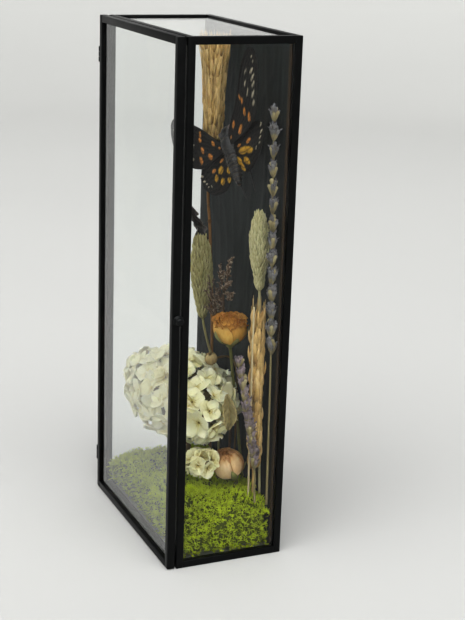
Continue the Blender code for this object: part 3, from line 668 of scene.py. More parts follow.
class BOX_OT_moss(bpy.types.Operator):
    """Make the moss: a lumpy bed painted dark as shade, covered with branching sprigs"""

    bl_idname = "display_box.moss"
    bl_label = "Moss"

    def execute(self, context):
        settings = context.scene.flower_settings
        finish = self.moss_green()
        self.bed(finish)
        rng = random.Random(11)
        sprigs = [moss_sprig(rng, settings.moss_sprig_length) for _ in range(14)]
        for name, start, stop, share in (
                ("moss_near", 0.024, 0.07, 1.4), ("moss_middle", -0.012, 0.024, 1.0),
                ("moss_far", -0.07, -0.012, 1.0)):
            soup = Soup()

            def keep(centre, normal):
                return normal.z >= -0.5 and normal.y <= 0.8 and start <= centre.x < stop

            count = int(settings.moss_sprigs * share)
            for point, normal in surface_samples("moss_bed", count, rng, keep):
                wild = jitter(rng, 1)
                flank = 1 - max(0, normal.z)
                heading = normal * (0.7 - 0.35 * flank) + wild * (0.55 + 0.25 * flank) + Vector((0, 0, 0.45))
                root = point - normal * (0.0014 + 0.0022 * flank)
                matrix = placed(root, heading.normalized(), rng.uniform(*ANY_ANGLE), rng.uniform(0.6, 1.15))
                soup.add_copy(rng.choice(sprigs), matrix, rng.uniform(-0.22, 0.12), self.brightness(point))
            soup.hold(0, *ACROSS_CASE)
            soup.hold(1, *MOSS_DEPTH)
            soup.hold(2, *MOSS_HEIGHT)
            fit(soup.to_object(name, finish), CASE, "moss")
        return {"FINISHED"}

    def brightness(self, point):
        """How yellow and light the moss is there: random lumps of tone, and painted light that makes the tuft
        by the near pane brightest.
        """
        lumps = noise.noise(point * 90) * 0.35 + noise.noise(point * 260) * 0.2
        # Painted light: the moss grows lighter and yellower towards the side pane, where the light comes in.
        near = min(1, max(0, (point.x + 0.01) / 0.05))
        return min(1, max(0, 0.35 + 0.4 * near + lumps))

    def bed(self, finish):
        """The bed under the sprigs, a little inside the solid, painted nearly black as painted shade deep in
        the moss.
        """
        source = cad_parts["moss_bed"].data
        points = np.array([v.co for v in source.vertices])
        centre = points.mean(axis=0)
        points = centre + (points - centre) * (0.95, 0.93, 0.93)
        soup = Soup()
        # Tone 0.06 paints the bed nearly black: painted shade between the sprigs.
        soup.add(points, [tuple(f.vertices) for f in source.polygons], 0.06, 0.0, 0.6)
        fit(soup.to_object("moss_painted_shade_bed", finish), CASE, "moss", "moss_bed")

    def moss_green(self):
        """Preserved moss: dark olive at its roots and lime to yellow-green at its tips."""
        mat, tree, shader = new_finish("preserved moss", 0.8, 0.25)
        deep = ramp_of(tree, "tone", [
            (0.0, (0.045, 0.055, 0.006)), (0.3, (0.35, 0.43, 0.016)), (0.65, (0.72, 0.84, 0.030)),
            (1.0, (0.78, 0.92, 0.05))])
        dull = ramp_of(tree, "tone", [
            (0.0, (0.040, 0.045, 0.008)), (0.3, (0.27, 0.32, 0.024)), (0.65, (0.57, 0.65, 0.06)),
            (1.0, (0.66, 0.74, 0.10))])
        tree.links.new(mix_of(tree, "MIX", value_of(tree, "hue"), dull, deep), shader.inputs["Base Color"])
        return mat


# Hydrangea

def sepal_patch(rng, length, cup):
    """One broad, rounded sepal from the origin out along X, with its width along Y."""
    ruffle = rng.uniform(*ANY_ANGLE)
    lean = rng.uniform(0.05, 0.35)

    def place(s, t):
        across = 2 * s - 1
        out = 0.02 + 0.965 * t
        wide = 0.58 * np.sqrt(np.sin(math.pi * out ** 0.72)) * (0.35 + 0.65 * np.clip(out * 2.2, 0, 1))
        notch = length * 0.03 * (1 - np.abs(across)) * (out > 0.95)
        x = length * out * (1 - 0.10 * across ** 2 * (1 - out)) - notch
        y = length * wide * across
        z = length * (cup * across ** 2 * 0.22 + lean * out ** 1.5 * 0.4
                      + 0.035 * np.sin(5 * out + 4 * across + ruffle) * out)
        return np.stack((x, y, z), axis=2)

    points, faces, s, t = double_sheet(8, 8, place, 0.00018)
    return points, faces, t


def floret_patch(rng, length, openness):
    """A four-sepalled flower at the origin facing up Z, with its small tan eye and its stalk."""
    soup = Soup()
    start = rng.uniform(*ANY_ANGLE)
    for n in range(4):
        points, faces, t = sepal_patch(rng, length * rng.uniform(0.86, 1.08), rng.uniform(0.2, 0.9))
        spin = Matrix.Rotation(start + n * math.pi / 2 + rng.uniform(-0.14, 0.14), 4, "Z")
        tilt = Matrix.Rotation(-openness - rng.uniform(-0.12, 0.22), 4, "Y")
        lift = Matrix.Translation((0, 0, 0.0002 * (n % 2)))
        soup.add_moved(spin @ lift @ tilt, points, faces, 0.35 + 0.45 * t + rng.uniform(-0.12, 0.12), t)
    eye = [(0, 0, -0.0005), (0, 0, 0.0002), (0, 0, 0.0008), (0, 0, 0.0011)]
    soup.add_rod(eye, [0.0004, 0.0007, 0.0006, 0.0002], 7, 0.05, 0.0)
    soup.add_rod([(0, 0, -0.009), (0, 0, -0.0004)], 0.0004, 4, 0.2, 0.1)
    return soup.patch()


def spread_directions(count):
    """Directions spread evenly over a ball by the golden angle."""
    golden = math.pi * (3 - math.sqrt(5))
    for n in range(count):
        z = 1 - 2 * (n + 0.5) / count
        ring = math.sqrt(1 - z * z)
        yield Vector((ring * math.cos(golden * n), ring * math.sin(golden * n), z))


class BOX_OT_hydrangea(bpy.types.Operator):
    """Make the dried hydrangea head, its stem and the low sprig"""

    bl_idname = "display_box.hydrangea"
    bl_label = "Hydrangea"

    def execute(self, context):
        settings = context.scene.flower_settings
        petals = plant_finish(
            "dried hydrangea",
            [(0.0, (0.20, 0.15, 0.05)), (0.2, (0.62, 0.54, 0.25)), (0.42, (0.89, 0.84, 0.53)),
             (0.8, (0.96, 0.93, 0.67)), (1.0, (0.97, 0.95, 0.75))],
            [(0.0, (0.82, 0.75, 0.48)), (0.25, (1, 1, 0.97)), (1.0, (1, 1, 1))], 0.62, 500, 0.25, 0.2)
        rng = random.Random(5)
        head = self.ball("hydrangea_head", settings.florets, settings.sepal_length, rng, petals, 0.0072)
        fit(head, CASE, "hydrangea", "hydrangea_head")
        sprig = self.ball("hydrangea_sprig", 13, settings.sepal_length * 0.72, rng, petals, 0.0040)
        fit(sprig, CASE, "hydrangea", "hydrangea_sprig")
        self.stem(rng)
        return {"FINISHED"}

    def ball(self, node, count, length, rng, finish, depth):
        """Florets standing square to the ball that the solid's box gives."""
        low, high = hidden_box(node)
        if node == "hydrangea_sprig":
            low.z = high.z - (high.y - low.y) * 0.85
        centre = (low + high) / 2
        radii = (high - low) / 2
        if node == "hydrangea_head":
            centre += Vector((0.0005, 0.0012, -0.0008))
            radii = Vector((radii.x * 1.05, radii.y * 1.07, radii.z * 0.87))
        patches = [floret_patch(rng, length, 0.2) for _ in range(9)]
        # The low sprig's florets are painted darker: painted shade under the hydrangea head.
        painted_shade = 0.22 if node == "hydrangea_sprig" else 0
        soup = Soup()
        for n, out in enumerate(spread_directions(count)):
            sunk = depth * rng.uniform(0.55, 1.15)
            point = centre + Vector([o * (r - sunk) for o, r in zip(out, radii)])
            normal = Vector([o / r for o, r in zip(out, radii)]).normalized()
            normal = (normal + jitter(rng, 0.28)).normalized()
            matrix = placed(point, normal, rng.uniform(*ANY_ANGLE), rng.uniform(0.85, 1.15))
            soup.add_copy(patches[n % len(patches)], matrix, rng.uniform(-0.14, 0.12) - painted_shade)
        # A dark egg inside the ball, at the lowest tone: painted shade in the gaps between the florets.
        soup.add(*egg_patch(centre, [r - depth * 1.5 for r in radii]), 0.0, 0.2)
        soup.hold(1, -0.0320, 0.0302)
        return soup.to_object("florets_" + node, finish)

    def stem(self, rng):
        """The woody stem between the head and the moss."""
        low, high = hidden_box("hydrangea_stem")
        middle = (low + high) / 2
        ends = (middle.x - 0.001, middle.y, low.z - 0.006), (middle.x, middle.y, high.z + 0.006)
        spine = curve_between([ends[0], tuple(middle), ends[1]], 12)
        soup = Soup()
        soup.add_rod(spine, [0.0021 + 0.0002 * rng.uniform(-1, 1) for _ in range(12)], 12, 0.4)
        bark = plant_finish("hydrangea bark", [(0.0, (0.08, 0.05, 0.02)), (1.0, (0.34, 0.25, 0.13))],
                            None, 0.85, 1200, 0.6, 0.0, 0.2)
        fit(soup.to_object("hydrangea_stalk", bark), CASE, "brown_stem", "hydrangea_stem")


# Roses

def rose_petal(rng, turn, outward, size, mouth, span):
    """One petal wrapped round Z: outward runs from 0 at the heart to 1 outside; mouth is the rim's width."""
    radius = size * (0.20 + 0.78 * outward)
    ragged = rng.uniform(*ANY_ANGLE)
    top = math.radians(68 - 26 * mouth * outward + rng.uniform(-5, 5))
    low = math.radians(-78)
    side = rng.choice((-1, 1))
    wrinkle = rng.uniform(0.7, 1.3)

    def place(s, t):
        across = 2 * s - 1
        notch = 1 - 0.13 * np.abs(across) ** 3
        notch = notch + 0.028 * np.sin(9 * across + ragged) + 0.018 * np.sin(23 * across + ragged)
        swing = low + (top - low) * t * (1 + (notch - 1) * t ** 3)
        angle = turn + across * span * (0.72 + 0.28 * np.sin(math.pi * np.clip(t * 0.8 + 0.1, 0, 1)))
        folds = np.sin(17 * across + 2.2 * np.sin(3 * t + ragged))
        reach = radius * np.cos(swing) + size * 0.10 * (1 - outward) * np.clip(t - 0.6, 0, 1)
        reach = reach + size * 0.060 * side * across
        reach = reach + size * mouth * 0.24 * outward * np.clip((t - 0.86) / 0.14, 0, 1) ** 2
        reach = reach + size * 0.012 * wrinkle * folds * np.sin(math.pi * t)
        z = size * (0.96 - 0.10 * (1 - outward)) * np.sin(swing)
        z = z + size * 0.02 * np.sin(11 * across + ragged) * t ** 4
        return np.stack((reach * np.cos(angle), reach * np.sin(angle), z), axis=2)

    return double_sheet(17, 14, place, 0.00022)


class BOX_OT_roses(bpy.types.Operator):
    """Make the two dried roses, their calyces and stems, and the bud"""

    bl_idname = "display_box.roses"
    bl_label = "Roses"

    def execute(self, context):
        settings = context.scene.flower_settings
        orange = plant_finish(
            "dried orange rose",
            [(0.0, (0.27, 0.11, 0.018)), (0.35, (0.57, 0.28, 0.05)), (0.7, (0.75, 0.44, 0.10)),
             (1.0, (0.84, 0.58, 0.20))],
            [(0.0, (1, 1, 1)), (0.82, (1, 0.96, 0.9)), (1.0, (0.62, 0.45, 0.30))], 0.68, 700, 0.5, 0.22, 0.35)
        peach = plant_finish(
            "dried peach rose",
            [(0.0, (0.30, 0.12, 0.05)), (0.35, (0.58, 0.32, 0.15)), (0.7, (0.74, 0.49, 0.27)),
             (1.0, (0.84, 0.64, 0.40))],
            [(0.0, (1, 1, 1)), (0.8, (1, 0.97, 0.92)), (1.0, (0.74, 0.55, 0.36))], 0.68, 700, 0.5, 0.22, 0.35)
        green = plant_finish(
            "dried calyx",
            [(0.0, (0.06, 0.06, 0.014)), (0.5, (0.21, 0.21, 0.065)), (1.0, (0.42, 0.40, 0.17))],
            None, 0.8, 900, 0.5, 0.08, 0.3)
        for place, lean, finish, openness, seed in (
                ("upper", (0.16, -0.12, 0.95), orange, 1.0, 21),
                ("lower", (0.05, -0.42, 0.85), peach, 0.30, 37)):
            self.rose(place, Vector(lean).normalized(), finish, green, openness, settings.rose_rings, seed)
        self.bud()
        return {"FINISHED"}

    def rose(self, place, lean, finish, green, mouth, rings, seed):
        """One rose: petals in rings round its axis, and the calyx below on its stem."""
        rng = random.Random(seed)
        low, high = hidden_box(f"rose_{place}_bloom")
        centre = (low + high) / 2
        size = (high - low).length / 2 / math.sqrt(3) * 0.97
        turned = placed(centre, lean)
        soup = Soup()
        for ring in range(rings):
            outward = ring / (rings - 1)
            around = 4 + ring // 2
            for n in range(around):
                turn = ring * 0.7 + math.tau * n / around + rng.uniform(-0.15, 0.15)
                span = math.pi / around * rng.uniform(1.25, 1.5)
                points, faces, s, t = rose_petal(rng, turn, outward, size, mouth, span)
                tone = 0.22 + 0.30 * t + 0.30 * outward + rng.uniform(-0.18, 0.18)
                edge = np.maximum(t, 0.86 * np.abs(2 * s - 1) ** 5 + 0.10)
                soup.add_moved(turned, points, faces, tone, edge)
        fit(soup.to_object(f"rose_{place}_petals", finish), CASE,
            "rose_orange" if place == "upper" else "rose_peach", f"rose_{place}_bloom")
        self.calyx(place, centre, lean, size, green, rng)

    def calyx(self, place, centre, lean, size, green, rng):
        """The hip, its five pointed sepals and the stem down into the moss."""
        low, high = hidden_box(f"rose_{place}_calyx")
        base = centre - lean * size * 0.80
        hip = base - lean * 0.0040
        foot = Vector(((low.x + high.x) / 2, high.y - 0.001, low.z - 0.004))
        if place == "lower":
            foot = Vector((high.x - 0.001, (low.y + high.y) / 2, low.z - 0.003))
        halfway = foot.lerp(hip, 0.5) + Vector((0, 0, 0.001))
        spine = curve_between([foot, halfway, hip - lean * 0.003, hip], 16)
        soup = Soup()
        soup.add_rod(spine, [0.0010] * 14 + [0.0012, 0.0016], 8, 0.4)
        swelling = [hip - lean * 0.0008, hip, hip + lean * 0.0018, base + lean * 0.0008]
        soup.add_rod(swelling, [0.0014, 0.0024, 0.0031, 0.0026], 12, 0.55)
        for n in range(5):
            angle = n * math.tau / 5 + (0.3 if place == "upper" else 0.95)
            climb = rng.uniform(62, 96)
            wide = rng.uniform(0.26, 0.36)

            def place_sepal(s, t):
                across = (2 * s - 1) * wide * np.sin(math.pi * np.clip(0.22 + 0.78 * t, 0, 1)) ** 0.75
                swing = np.radians(-76 + climb * t)
                reach = size * (1.045 * np.cos(swing) + 0.09 * t ** 4 + 0.03 * np.cos(across * 6))
                turn = angle + across / (0.35 + np.cos(swing))
                return np.stack((reach * np.cos(turn), reach * np.sin(turn), size * np.sin(swing)), axis=2)

            points, faces, s, t = double_sheet(7, 12, place_sepal, 0.00022)
            soup.add_moved(placed(centre, lean), points, faces, 0.35 + 0.5 * t + rng.uniform(-0.1, 0.1), t)
        fit(soup.to_object(f"rose_{place}_calyx_leaves", green), CASE, "calyx_green", f"rose_{place}_calyx")

    def bud(self):
        """The small closed bud, ribbed and brown, on its bent stalk."""
        rng = random.Random(3)
        low, high = hidden_box("rosebud")
        centre = Vector((high.x - 0.0037, low.y + 0.0038, high.z - 0.0048))
        soup = Soup()
        lean = Vector((0.35, -0.25, 0.9)).normalized()
        for n in range(9):
            points, faces, _, t = rose_petal(rng, n * 2.4, 0.35 + n * 0.075, 0.0042, 0.0, 1.0)
            soup.add_moved(placed(centre, lean), points, faces, 0.25 + 0.5 * t + rng.uniform(-0.15, 0.15), t)
        spine = curve_between([(0.0100, 0.0278, low.z - 0.004), (0.0100, 0.0278, 0.0900),
                               (0.0110, 0.0230, 0.1050), (0.0160, 0.0110, 0.1080),
                               tuple(centre - lean * 0.003)], 36)
        soup.add_rod(spine, [0.0006] * 35 + [0.0012], 6, 0.3)
        brown = plant_finish(
            "dried bud", [(0.0, (0.08, 0.045, 0.015)), (0.5, (0.30, 0.20, 0.08)), (1.0, (0.52, 0.42, 0.22))],
            None, 0.75, 900, 0.5, 0.1, 0.3)
        fit(soup.to_object("bud", brown), CASE, "bud_brown", "rosebud")


# Lavender

class BOX_OT_lavender(bpy.types.Operator):
    """Make the two lavender spikes"""

    bl_idname = "display_box.lavender"
    bl_label = "Lavender"

    def execute(self, context):
        tall = self.lavender_finish("tall lavender", (0.160, 0.156, 0.164))
        short = self.lavender_finish("short lavender", (0.220, 0.180, 0.195))
        self.spike("lavender_tall", (0.0568, 0.0272, 0.1200), 14, tall, 8)
        self.spike("lavender_short", (0.0562, 0.0200, 0.0515), 10, short, 9)
        return {"FINISHED"}

    def lavender_finish(self, name, petal):
        """Tan ribbed calyces under faded grey-violet petals."""
        mat, tree, shader = new_finish(name, 0.85, 0.2)
        tan = ramp_of(tree, "tone", [
            (0.0, (0.13, 0.10, 0.05)), (0.5, (0.31, 0.26, 0.13)), (1.0, (0.50, 0.44, 0.27))])
        dark, light = tuple(c * 0.35 for c in petal), tuple(min(1, c * 1.7) for c in petal)
        violet = ramp_of(tree, "tone", [(0.0, dark), (0.6, petal), (1.0, light)])
        tree.links.new(mix_of(tree, "MIX", value_of(tree, "hue"), tan, violet), shader.inputs["Base Color"])
        bump_of(tree, shader, noise_of(tree, 2200, 4.0, 0.6), 0.5, 0.0002)
        return mat

    def spike(self, node, base, whorls, finish, seed):
        """Whorls of calyces up a stem, looser at the bottom."""
        rng = random.Random(seed)
        low, high = hidden_box(node)
        base = Vector(base)
        top = Vector((base.x, low.y + 0.0022, high.z))
        foot = Vector((base.x, high.y - 0.0012, low.z - 0.004))
        guide = [foot, foot.lerp(base, 0.5), base, base.lerp(top, 0.5), top - Vector((0, 0, 0.003))]
        spine = curve_between(guide, 40)
        soup = Soup()
        soup.add_rod(spine, np.linspace(0.00075, 0.0004, 40), 6, 0.45, 0.5, 0.0)
        for k in range(whorls):
            t = (k + 0.15) / whorls
            point = base.lerp(top, t)
            turn = rng.uniform(*ANY_ANGLE)
            for n in range(11):
                angle = turn + n * math.tau / 5.5
                lean = rng.uniform(0.22, 0.42) * (1.0 if n < 6 else 0.7)
                heading = Vector((math.cos(angle) * lean, math.sin(angle) * lean, 0.95)).normalized()
                start = point + Vector((0, 0, rng.uniform(-0.0008, 0.0008) + (0.0022 if n > 5 else 0)))
                size = rng.uniform(0.0066, 0.0082) * (1 - 0.18 * t)
                size = min(size, high.z - start.z - 0.0002)
                self.calyx(soup, start, heading, size, rng)
        soup.hold(0, *ACROSS_CASE)
        soup.hold(1, *DOOR_TO_BOARD)
        fit(soup.to_object(node + "_whorls", finish), CASE, "lavender", node)

    def calyx(self, soup, start, heading, size, rng):
        """One ribbed calyx with a faded petal frill at its mouth."""
        steps = (0.0, 0.2, 0.45, 0.7, 0.9, 1.0)
        radii = [size * r for r in (0.05, 0.12, 0.15, 0.14, 0.165, 0.08)]
        points, faces = rod([start + heading * size * s for s in steps], radii, 7)
        ends = np.repeat(steps, 7)
        shade = rng.uniform(-0.15, 0.15)
        faded = rng.random() < 0.75
        tone = np.clip(0.25 + 0.55 * ends + shade, 0, 1)
        soup.add(points, faces, tone, ends, np.where(ends > 0.6, 0.9, 0.15) * faded)
        if not faded:
            return
        for _ in range(2):
            tip = start + heading * size * 0.92
            off = jitter(rng, 0.6)
            end = tip + (heading + off).normalized() * size * rng.uniform(0.22, 0.40)
            soup.add_rod([tip, tip.lerp(end, 0.6), end], [size * 0.07, size * 0.13, size * 0.04], 5,
                         rng.uniform(0.45, 0.95), 0.9, 1.0, flat=0.35)


# Wheat, grasses and straw

def husk_patch(length, wide, sides=6, belly=0.45, hook=0.12):
    """A pointed husk up Z, boat-shaped, bowed outwards along X."""
    steps = np.array((0.0, 0.12, 0.3, 0.5, 0.7, 0.87, 1.0))
    swell = np.sin(math.pi * np.clip(steps ** (0.75 if belly < 0.5 else 1.0), 0, 1)) ** 0.8
    radii = wide / 2 * (0.06 + 0.94 * swell)
    spine = np.stack((hook * length * np.sin(steps * math.pi) * 0.8, np.zeros(7), steps * length), axis=1)
    points, faces = rod(spine, radii, sides, 0.62, (1, 0, 0))
    return points, faces, np.repeat(steps, sides)


def add_husk(soup, patch, root, heading, out, scale, base, climb, shade):
    """Add a husk that points along heading and bows towards out; its tone climbs to its tip."""
    points, faces, reach = patch
    facing = turn_to(heading)
    outward = facing.inverted().to_3x3() @ out
    spin = Matrix.Rotation(math.atan2(outward.y, outward.x), 4, "Z")
    matrix = Matrix.Translation(root) @ facing @ spin @ Matrix.Scale(scale, 4)
    soup.add_moved(matrix, points, faces, base + climb * reach + shade, reach)


def awn(soup, start, heading, length, rng, thick, sway):
    """A long thin bristle that thins to its tip."""
    bend = jitter(rng, 1) * length * sway
    middle = start + heading * length * 0.5 + bend * 0.5
    spine = curve_between([start, middle, start + heading * length + bend], 7)
    soup.add_rod(spine, np.linspace(thick, thick * 0.3, 7), 4, rng.uniform(0.35, 0.9),
                 np.repeat(np.linspace(0, 1, 7), 4), 0.6)


class BOX_OT_wheat(bpy.types.Operator):
    """Make the two wheat ears, their stalks and the straw"""

    bl_idname = "display_box.wheat"
    bl_label = "Wheat"

    def execute(self, context):
        gold = plant_finish(
            "golden wheat",
            [(0.0, (0.21, 0.12, 0.04)), (0.35, (0.53, 0.35, 0.13)), (0.7, (0.75, 0.55, 0.26)),
             (1.0, (0.90, 0.75, 0.47))],
            [(0.0, (0.62, 0.52, 0.42)), (0.35, (1, 1, 1)), (1.0, (1.0, 0.97, 0.90))],
            0.55, 1600, 0.55, 0.1, 0.25)
        brown = plant_finish(
            "brown stalk",
            [(0.0, (0.10, 0.045, 0.012)), (0.5, (0.32, 0.16, 0.05)), (1.0, (0.50, 0.32, 0.14))],
            None, 0.6, 900, 0.4, 0.0, 0.12)
        straw = plant_finish(
            "pale straw", [(0.0, (0.34, 0.26, 0.13)), (0.5, (0.58, 0.48, 0.29)), (1.0, (0.76, 0.67, 0.46))],
            None, 0.5, 900, 0.4, 0.0, 0.12)
        self.side_ear(gold)
        self.back_ear(gold)
        self.back_stalk(brown)
        self.straw_stalk(straw)
        return {"FINISHED"}

    def side_ear(self, gold):
        """The golden ear beside the side pane: papery husks in loose ranks, with straws and awns round it."""
        rng = random.Random(14)
        low, high = hidden_box("wheat_side_ear")
        x, y = (low.x + high.x) / 2, (low.y + high.y) / 2
        start = Vector((x, y + 0.0006, 0.0480))
        end = Vector((x, y - 0.0006, high.z - 0.015))
        soup = Soup()
        shapes = ((0.0108, 0.0042, 7), (0.0094, 0.0036, 7), (0.0120, 0.0030, 6))
        patches = [husk_patch(*shape) for shape in shapes]
        rows = 30
        for k in range(rows):
            t = (k + 0.4) / rows
            point = start.lerp(end, t)
            for n in range(5):
                angle = math.tau * (n + 0.5 * (k % 2)) / 5 + rng.uniform(-0.25, 0.25)
                out = level_way(angle)
                heading = (Vector((0, 0, 1)) + out * rng.uniform(0.10, 0.30)).normalized()
                root = point + out * rng.uniform(0.0008, 0.0020) + Vector((0, 0, rng.uniform(-0.001, 0.001)))
                add_husk(soup, rng.choice(patches), root, heading, out, rng.uniform(0.8, 1.05), 0.20, 0.40,
                         rng.uniform(-0.2, 0.3))
        for _ in range(64):
            out = level_way(rng.uniform(0, math.tau))
            foot = Vector((x, y, rng.uniform(0.046, 0.125))) + out * rng.uniform(0.0030, 0.0036)
            heading = (Vector((0, 0, 1)) + out * rng.uniform(-0.004, 0.010)).normalized()
            length = high.z - foot.z - rng.uniform(0, 0.012)
            awn(soup, foot, heading, length, rng, rng.uniform(0.00022, 0.00042), 0.012)
        spine = curve_between([(x, y + 0.0008, low.z - 0.004), tuple(start), tuple(end)], 20)
        soup.add_rod(spine, 0.0010, 6, 0.5, 0.4)
        soup.hold(0, -0.0604, 0.0602)
        soup.hold(1, *DOOR_TO_BOARD)
        fit(soup.to_object("wheat_side_husks", gold), CASE, "wheat_gold", "wheat_side_ear")

    def back_ear(self, gold):
        """The bearded ear by the board: narrow husks and a sheaf of awns that opens up to the top rail."""
        rng = random.Random(15)
        low, high = hidden_box("wheat_back_ear")
        x, y = (low.x + high.x) / 2, (low.y + high.y) / 2
        soup = Soup()
        girth = [g * MM for g in (1.6, 4.4, 5.7, 5.6, 5.8, 5.6, 6.2, 7.2, 8.3, 9.2)]
        patches = [husk_patch(0.0110, 0.0023), husk_patch(0.0092, 0.0019)]
        rows = 27
        for k in range(rows):
            t = k / (rows - 1)
            spread = np.interp(t * 9, range(10), girth) - 0.0010
            around = max(6, int(spread / 0.00033))
            for n in range(around):
                angle = math.tau * (n + 0.5 * (k % 2)) / around + rng.uniform(-0.12, 0.12)
                out = level_way(angle)
                root = Vector((x, y, low.z + 0.060 * t)) + out * spread * rng.uniform(0.62, 0.92)
                heading = (Vector((0, 0, 1)) + out * rng.uniform(0.06, 0.22)).normalized()
                add_husk(soup, patches[n % 2], root, heading, out, rng.uniform(0.85, 1.1), 0.26, 0.42,
                         rng.uniform(-0.2, 0.22))
        for _ in range(260):
            t = rng.uniform(0.02, 0.9)
            out = level_way(rng.uniform(*ANY_ANGLE))
            spread = float(np.interp(t * 9, range(10), girth))
            point = Vector((x, y, low.z + 0.060 * t)) + out * spread * 0.9
            room = high.z + 0.0010 - point.z
            heading = (Vector((0, 0, room)) + out * rng.uniform(0.0, 0.0045)).normalized()
            length = room * rng.uniform(0.5, 1.0)
            awn(soup, point, heading, length, rng, rng.uniform(0.00020, 0.00034), 0.02)
        soup.hold(1, *DOOR_TO_BOARD)
        soup.hold(2, 0.0, 0.2952)
        fit(soup.to_object("wheat_back_husks", gold), CASE, "wheat_gold", "wheat_back_ear")

    def back_stalk(self, brown):
        """The bent brown stalk below the bearded ear."""
        low, high = hidden_box("wheat_back_stalk")
        guide = [(-0.0250, 0.0268, low.z - 0.004), (-0.0272, 0.0266, 0.1100), (-0.0295, 0.0245, 0.1710),
                 (-0.0298, 0.0225, 0.1970), (-0.0186, 0.0200, high.z + 0.002)]
        soup = Soup()
        spine = curve_between(guide, 60)
        soup.add_rod(spine, 0.0009, 8)
        for joint in (0.1250, 0.1800):
            middle = Vector(spine[np.argmin(np.abs(spine[:, 2] - joint))])
            soup.add_rod([middle + Vector((0, 0, off)) for off in (-0.0012, 0, 0.0012)],
                         [0.0009, 0.0013, 0.0009], 8, 0.2)
        fit(soup.to_object("wheat_back_stem", brown), CASE, "brown_stem", "wheat_back_stalk")

    def straw_stalk(self, straw):
        """The pale straw beside the side pane."""
        low, high = hidden_box("straw_side")
        x = (low.x + high.x) / 2
        soup = Soup()
        guide = [(x, high.y + 0.0010, low.z - 0.004), (x - 0.0003, high.y + 0.0006, 0.09),
                 (x, high.y + 0.0002, high.z)]
        soup.add_rod(curve_between(guide, 40), 0.0006, 8, 0.6)
        fit(soup.to_object("straw_side_stalk", straw), CASE, "straw", "straw_side")


class BOX_OT_grasses(bpy.types.Operator):
    """Make the two dense grass heads"""

    bl_idname = "display_box.grasses"
    bl_label = "Grass heads"

    def execute(self, context):
        pale = plant_finish(
            "pale grass husks",
            [(0.0, (0.20, 0.17, 0.07)), (0.35, (0.46, 0.42, 0.22)), (0.7, (0.66, 0.62, 0.38)),
             (1.0, (0.82, 0.79, 0.56))],
            [(0.0, (0.55, 0.52, 0.40)), (0.4, (1, 1, 1)), (1.0, (1.0, 0.98, 0.9))],
            0.6, 1800, 0.4, 0.12, 0.25)
        dusky = plant_finish(
            "dusky grass husks",
            [(0.0, (0.17, 0.14, 0.05)), (0.35, (0.36, 0.32, 0.14)), (0.7, (0.52, 0.48, 0.25)),
             (1.0, (0.68, 0.64, 0.40))],
            [(0.0, (0.55, 0.50, 0.40)), (0.4, (1, 1, 1)), (1.0, (1.0, 0.98, 0.9))],
            0.6, 1800, 0.4, 0.12, 0.25)
        self.head("phalaris_side", (0.0448, 0.0242, 0.1555), (0.0448, 0.0222, 0.2020),
                  (0.0468, 0.0284), 0.0067, pale, 51)
        self.head("phalaris_far", (-0.0125, 0.0140, 0.1235), (-0.0215, 0.0150, 0.1740),
                  (-0.0115, 0.0268), 0.0080, dusky, 52)
        return {"FINISHED"}

    def head(self, node, bottom, top, foot_xy, radius, finish, seed):
        """Rows of narrow husks that overlap upwards round an egg-shaped head, on its stem."""
        rng = random.Random(seed)
        low = hidden_box(node)[0]
        bottom, top = Vector(bottom), Vector(top)
        ahead = (top - bottom).normalized()
        side = ahead.cross(Vector((0, 1, 0))).normalized()
        front = side.cross(ahead)
        patch = husk_patch(0.0058, 0.0014, 4, 0.5, 0.10)
        soup = Soup()
        rows = 40
        for k in range(rows):
            t = k / (rows - 1)
            girth = radius * (0.30 + 0.70 * math.sin(math.pi * (0.05 + 0.84 * t ** 1.25)) ** 0.8)
            around = max(7, int(20 * girth / radius))
            for n in range(around):
                angle = math.tau * (n + 0.5 * (k % 2)) / around + rng.uniform(-0.1, 0.1)
                out = side * math.cos(angle) + front * math.sin(angle)
                root = bottom.lerp(top, t * 0.90) + out * (girth - 0.0030) * 0.95
                heading = (ahead + out * (0.52 - 0.30 * t + rng.uniform(-0.10, 0.12))).normalized()
                add_husk(soup, patch, root, heading, out, rng.uniform(0.85, 1.1), 0.16, 0.62,
                         rng.uniform(-0.16, 0.20))
        foot = Vector((foot_xy[0], foot_xy[1], low.z - 0.004))
        bow = Vector((0, 0.0055 if node == "phalaris_far" else 0, 0))
        guide = [foot, foot.lerp(bottom, 0.5) + bow, bottom, bottom.lerp(top, 0.8)]
        soup.add_rod(curve_between(guide, 40), 0.0008, 6)
        soup.hold(1, *DOOR_TO_BOARD)
        fit(soup.to_object(node + "_husks", finish), CASE,
            "grass_pale" if node == "phalaris_side" else "grass_green", node)


# Sprigs and leaves

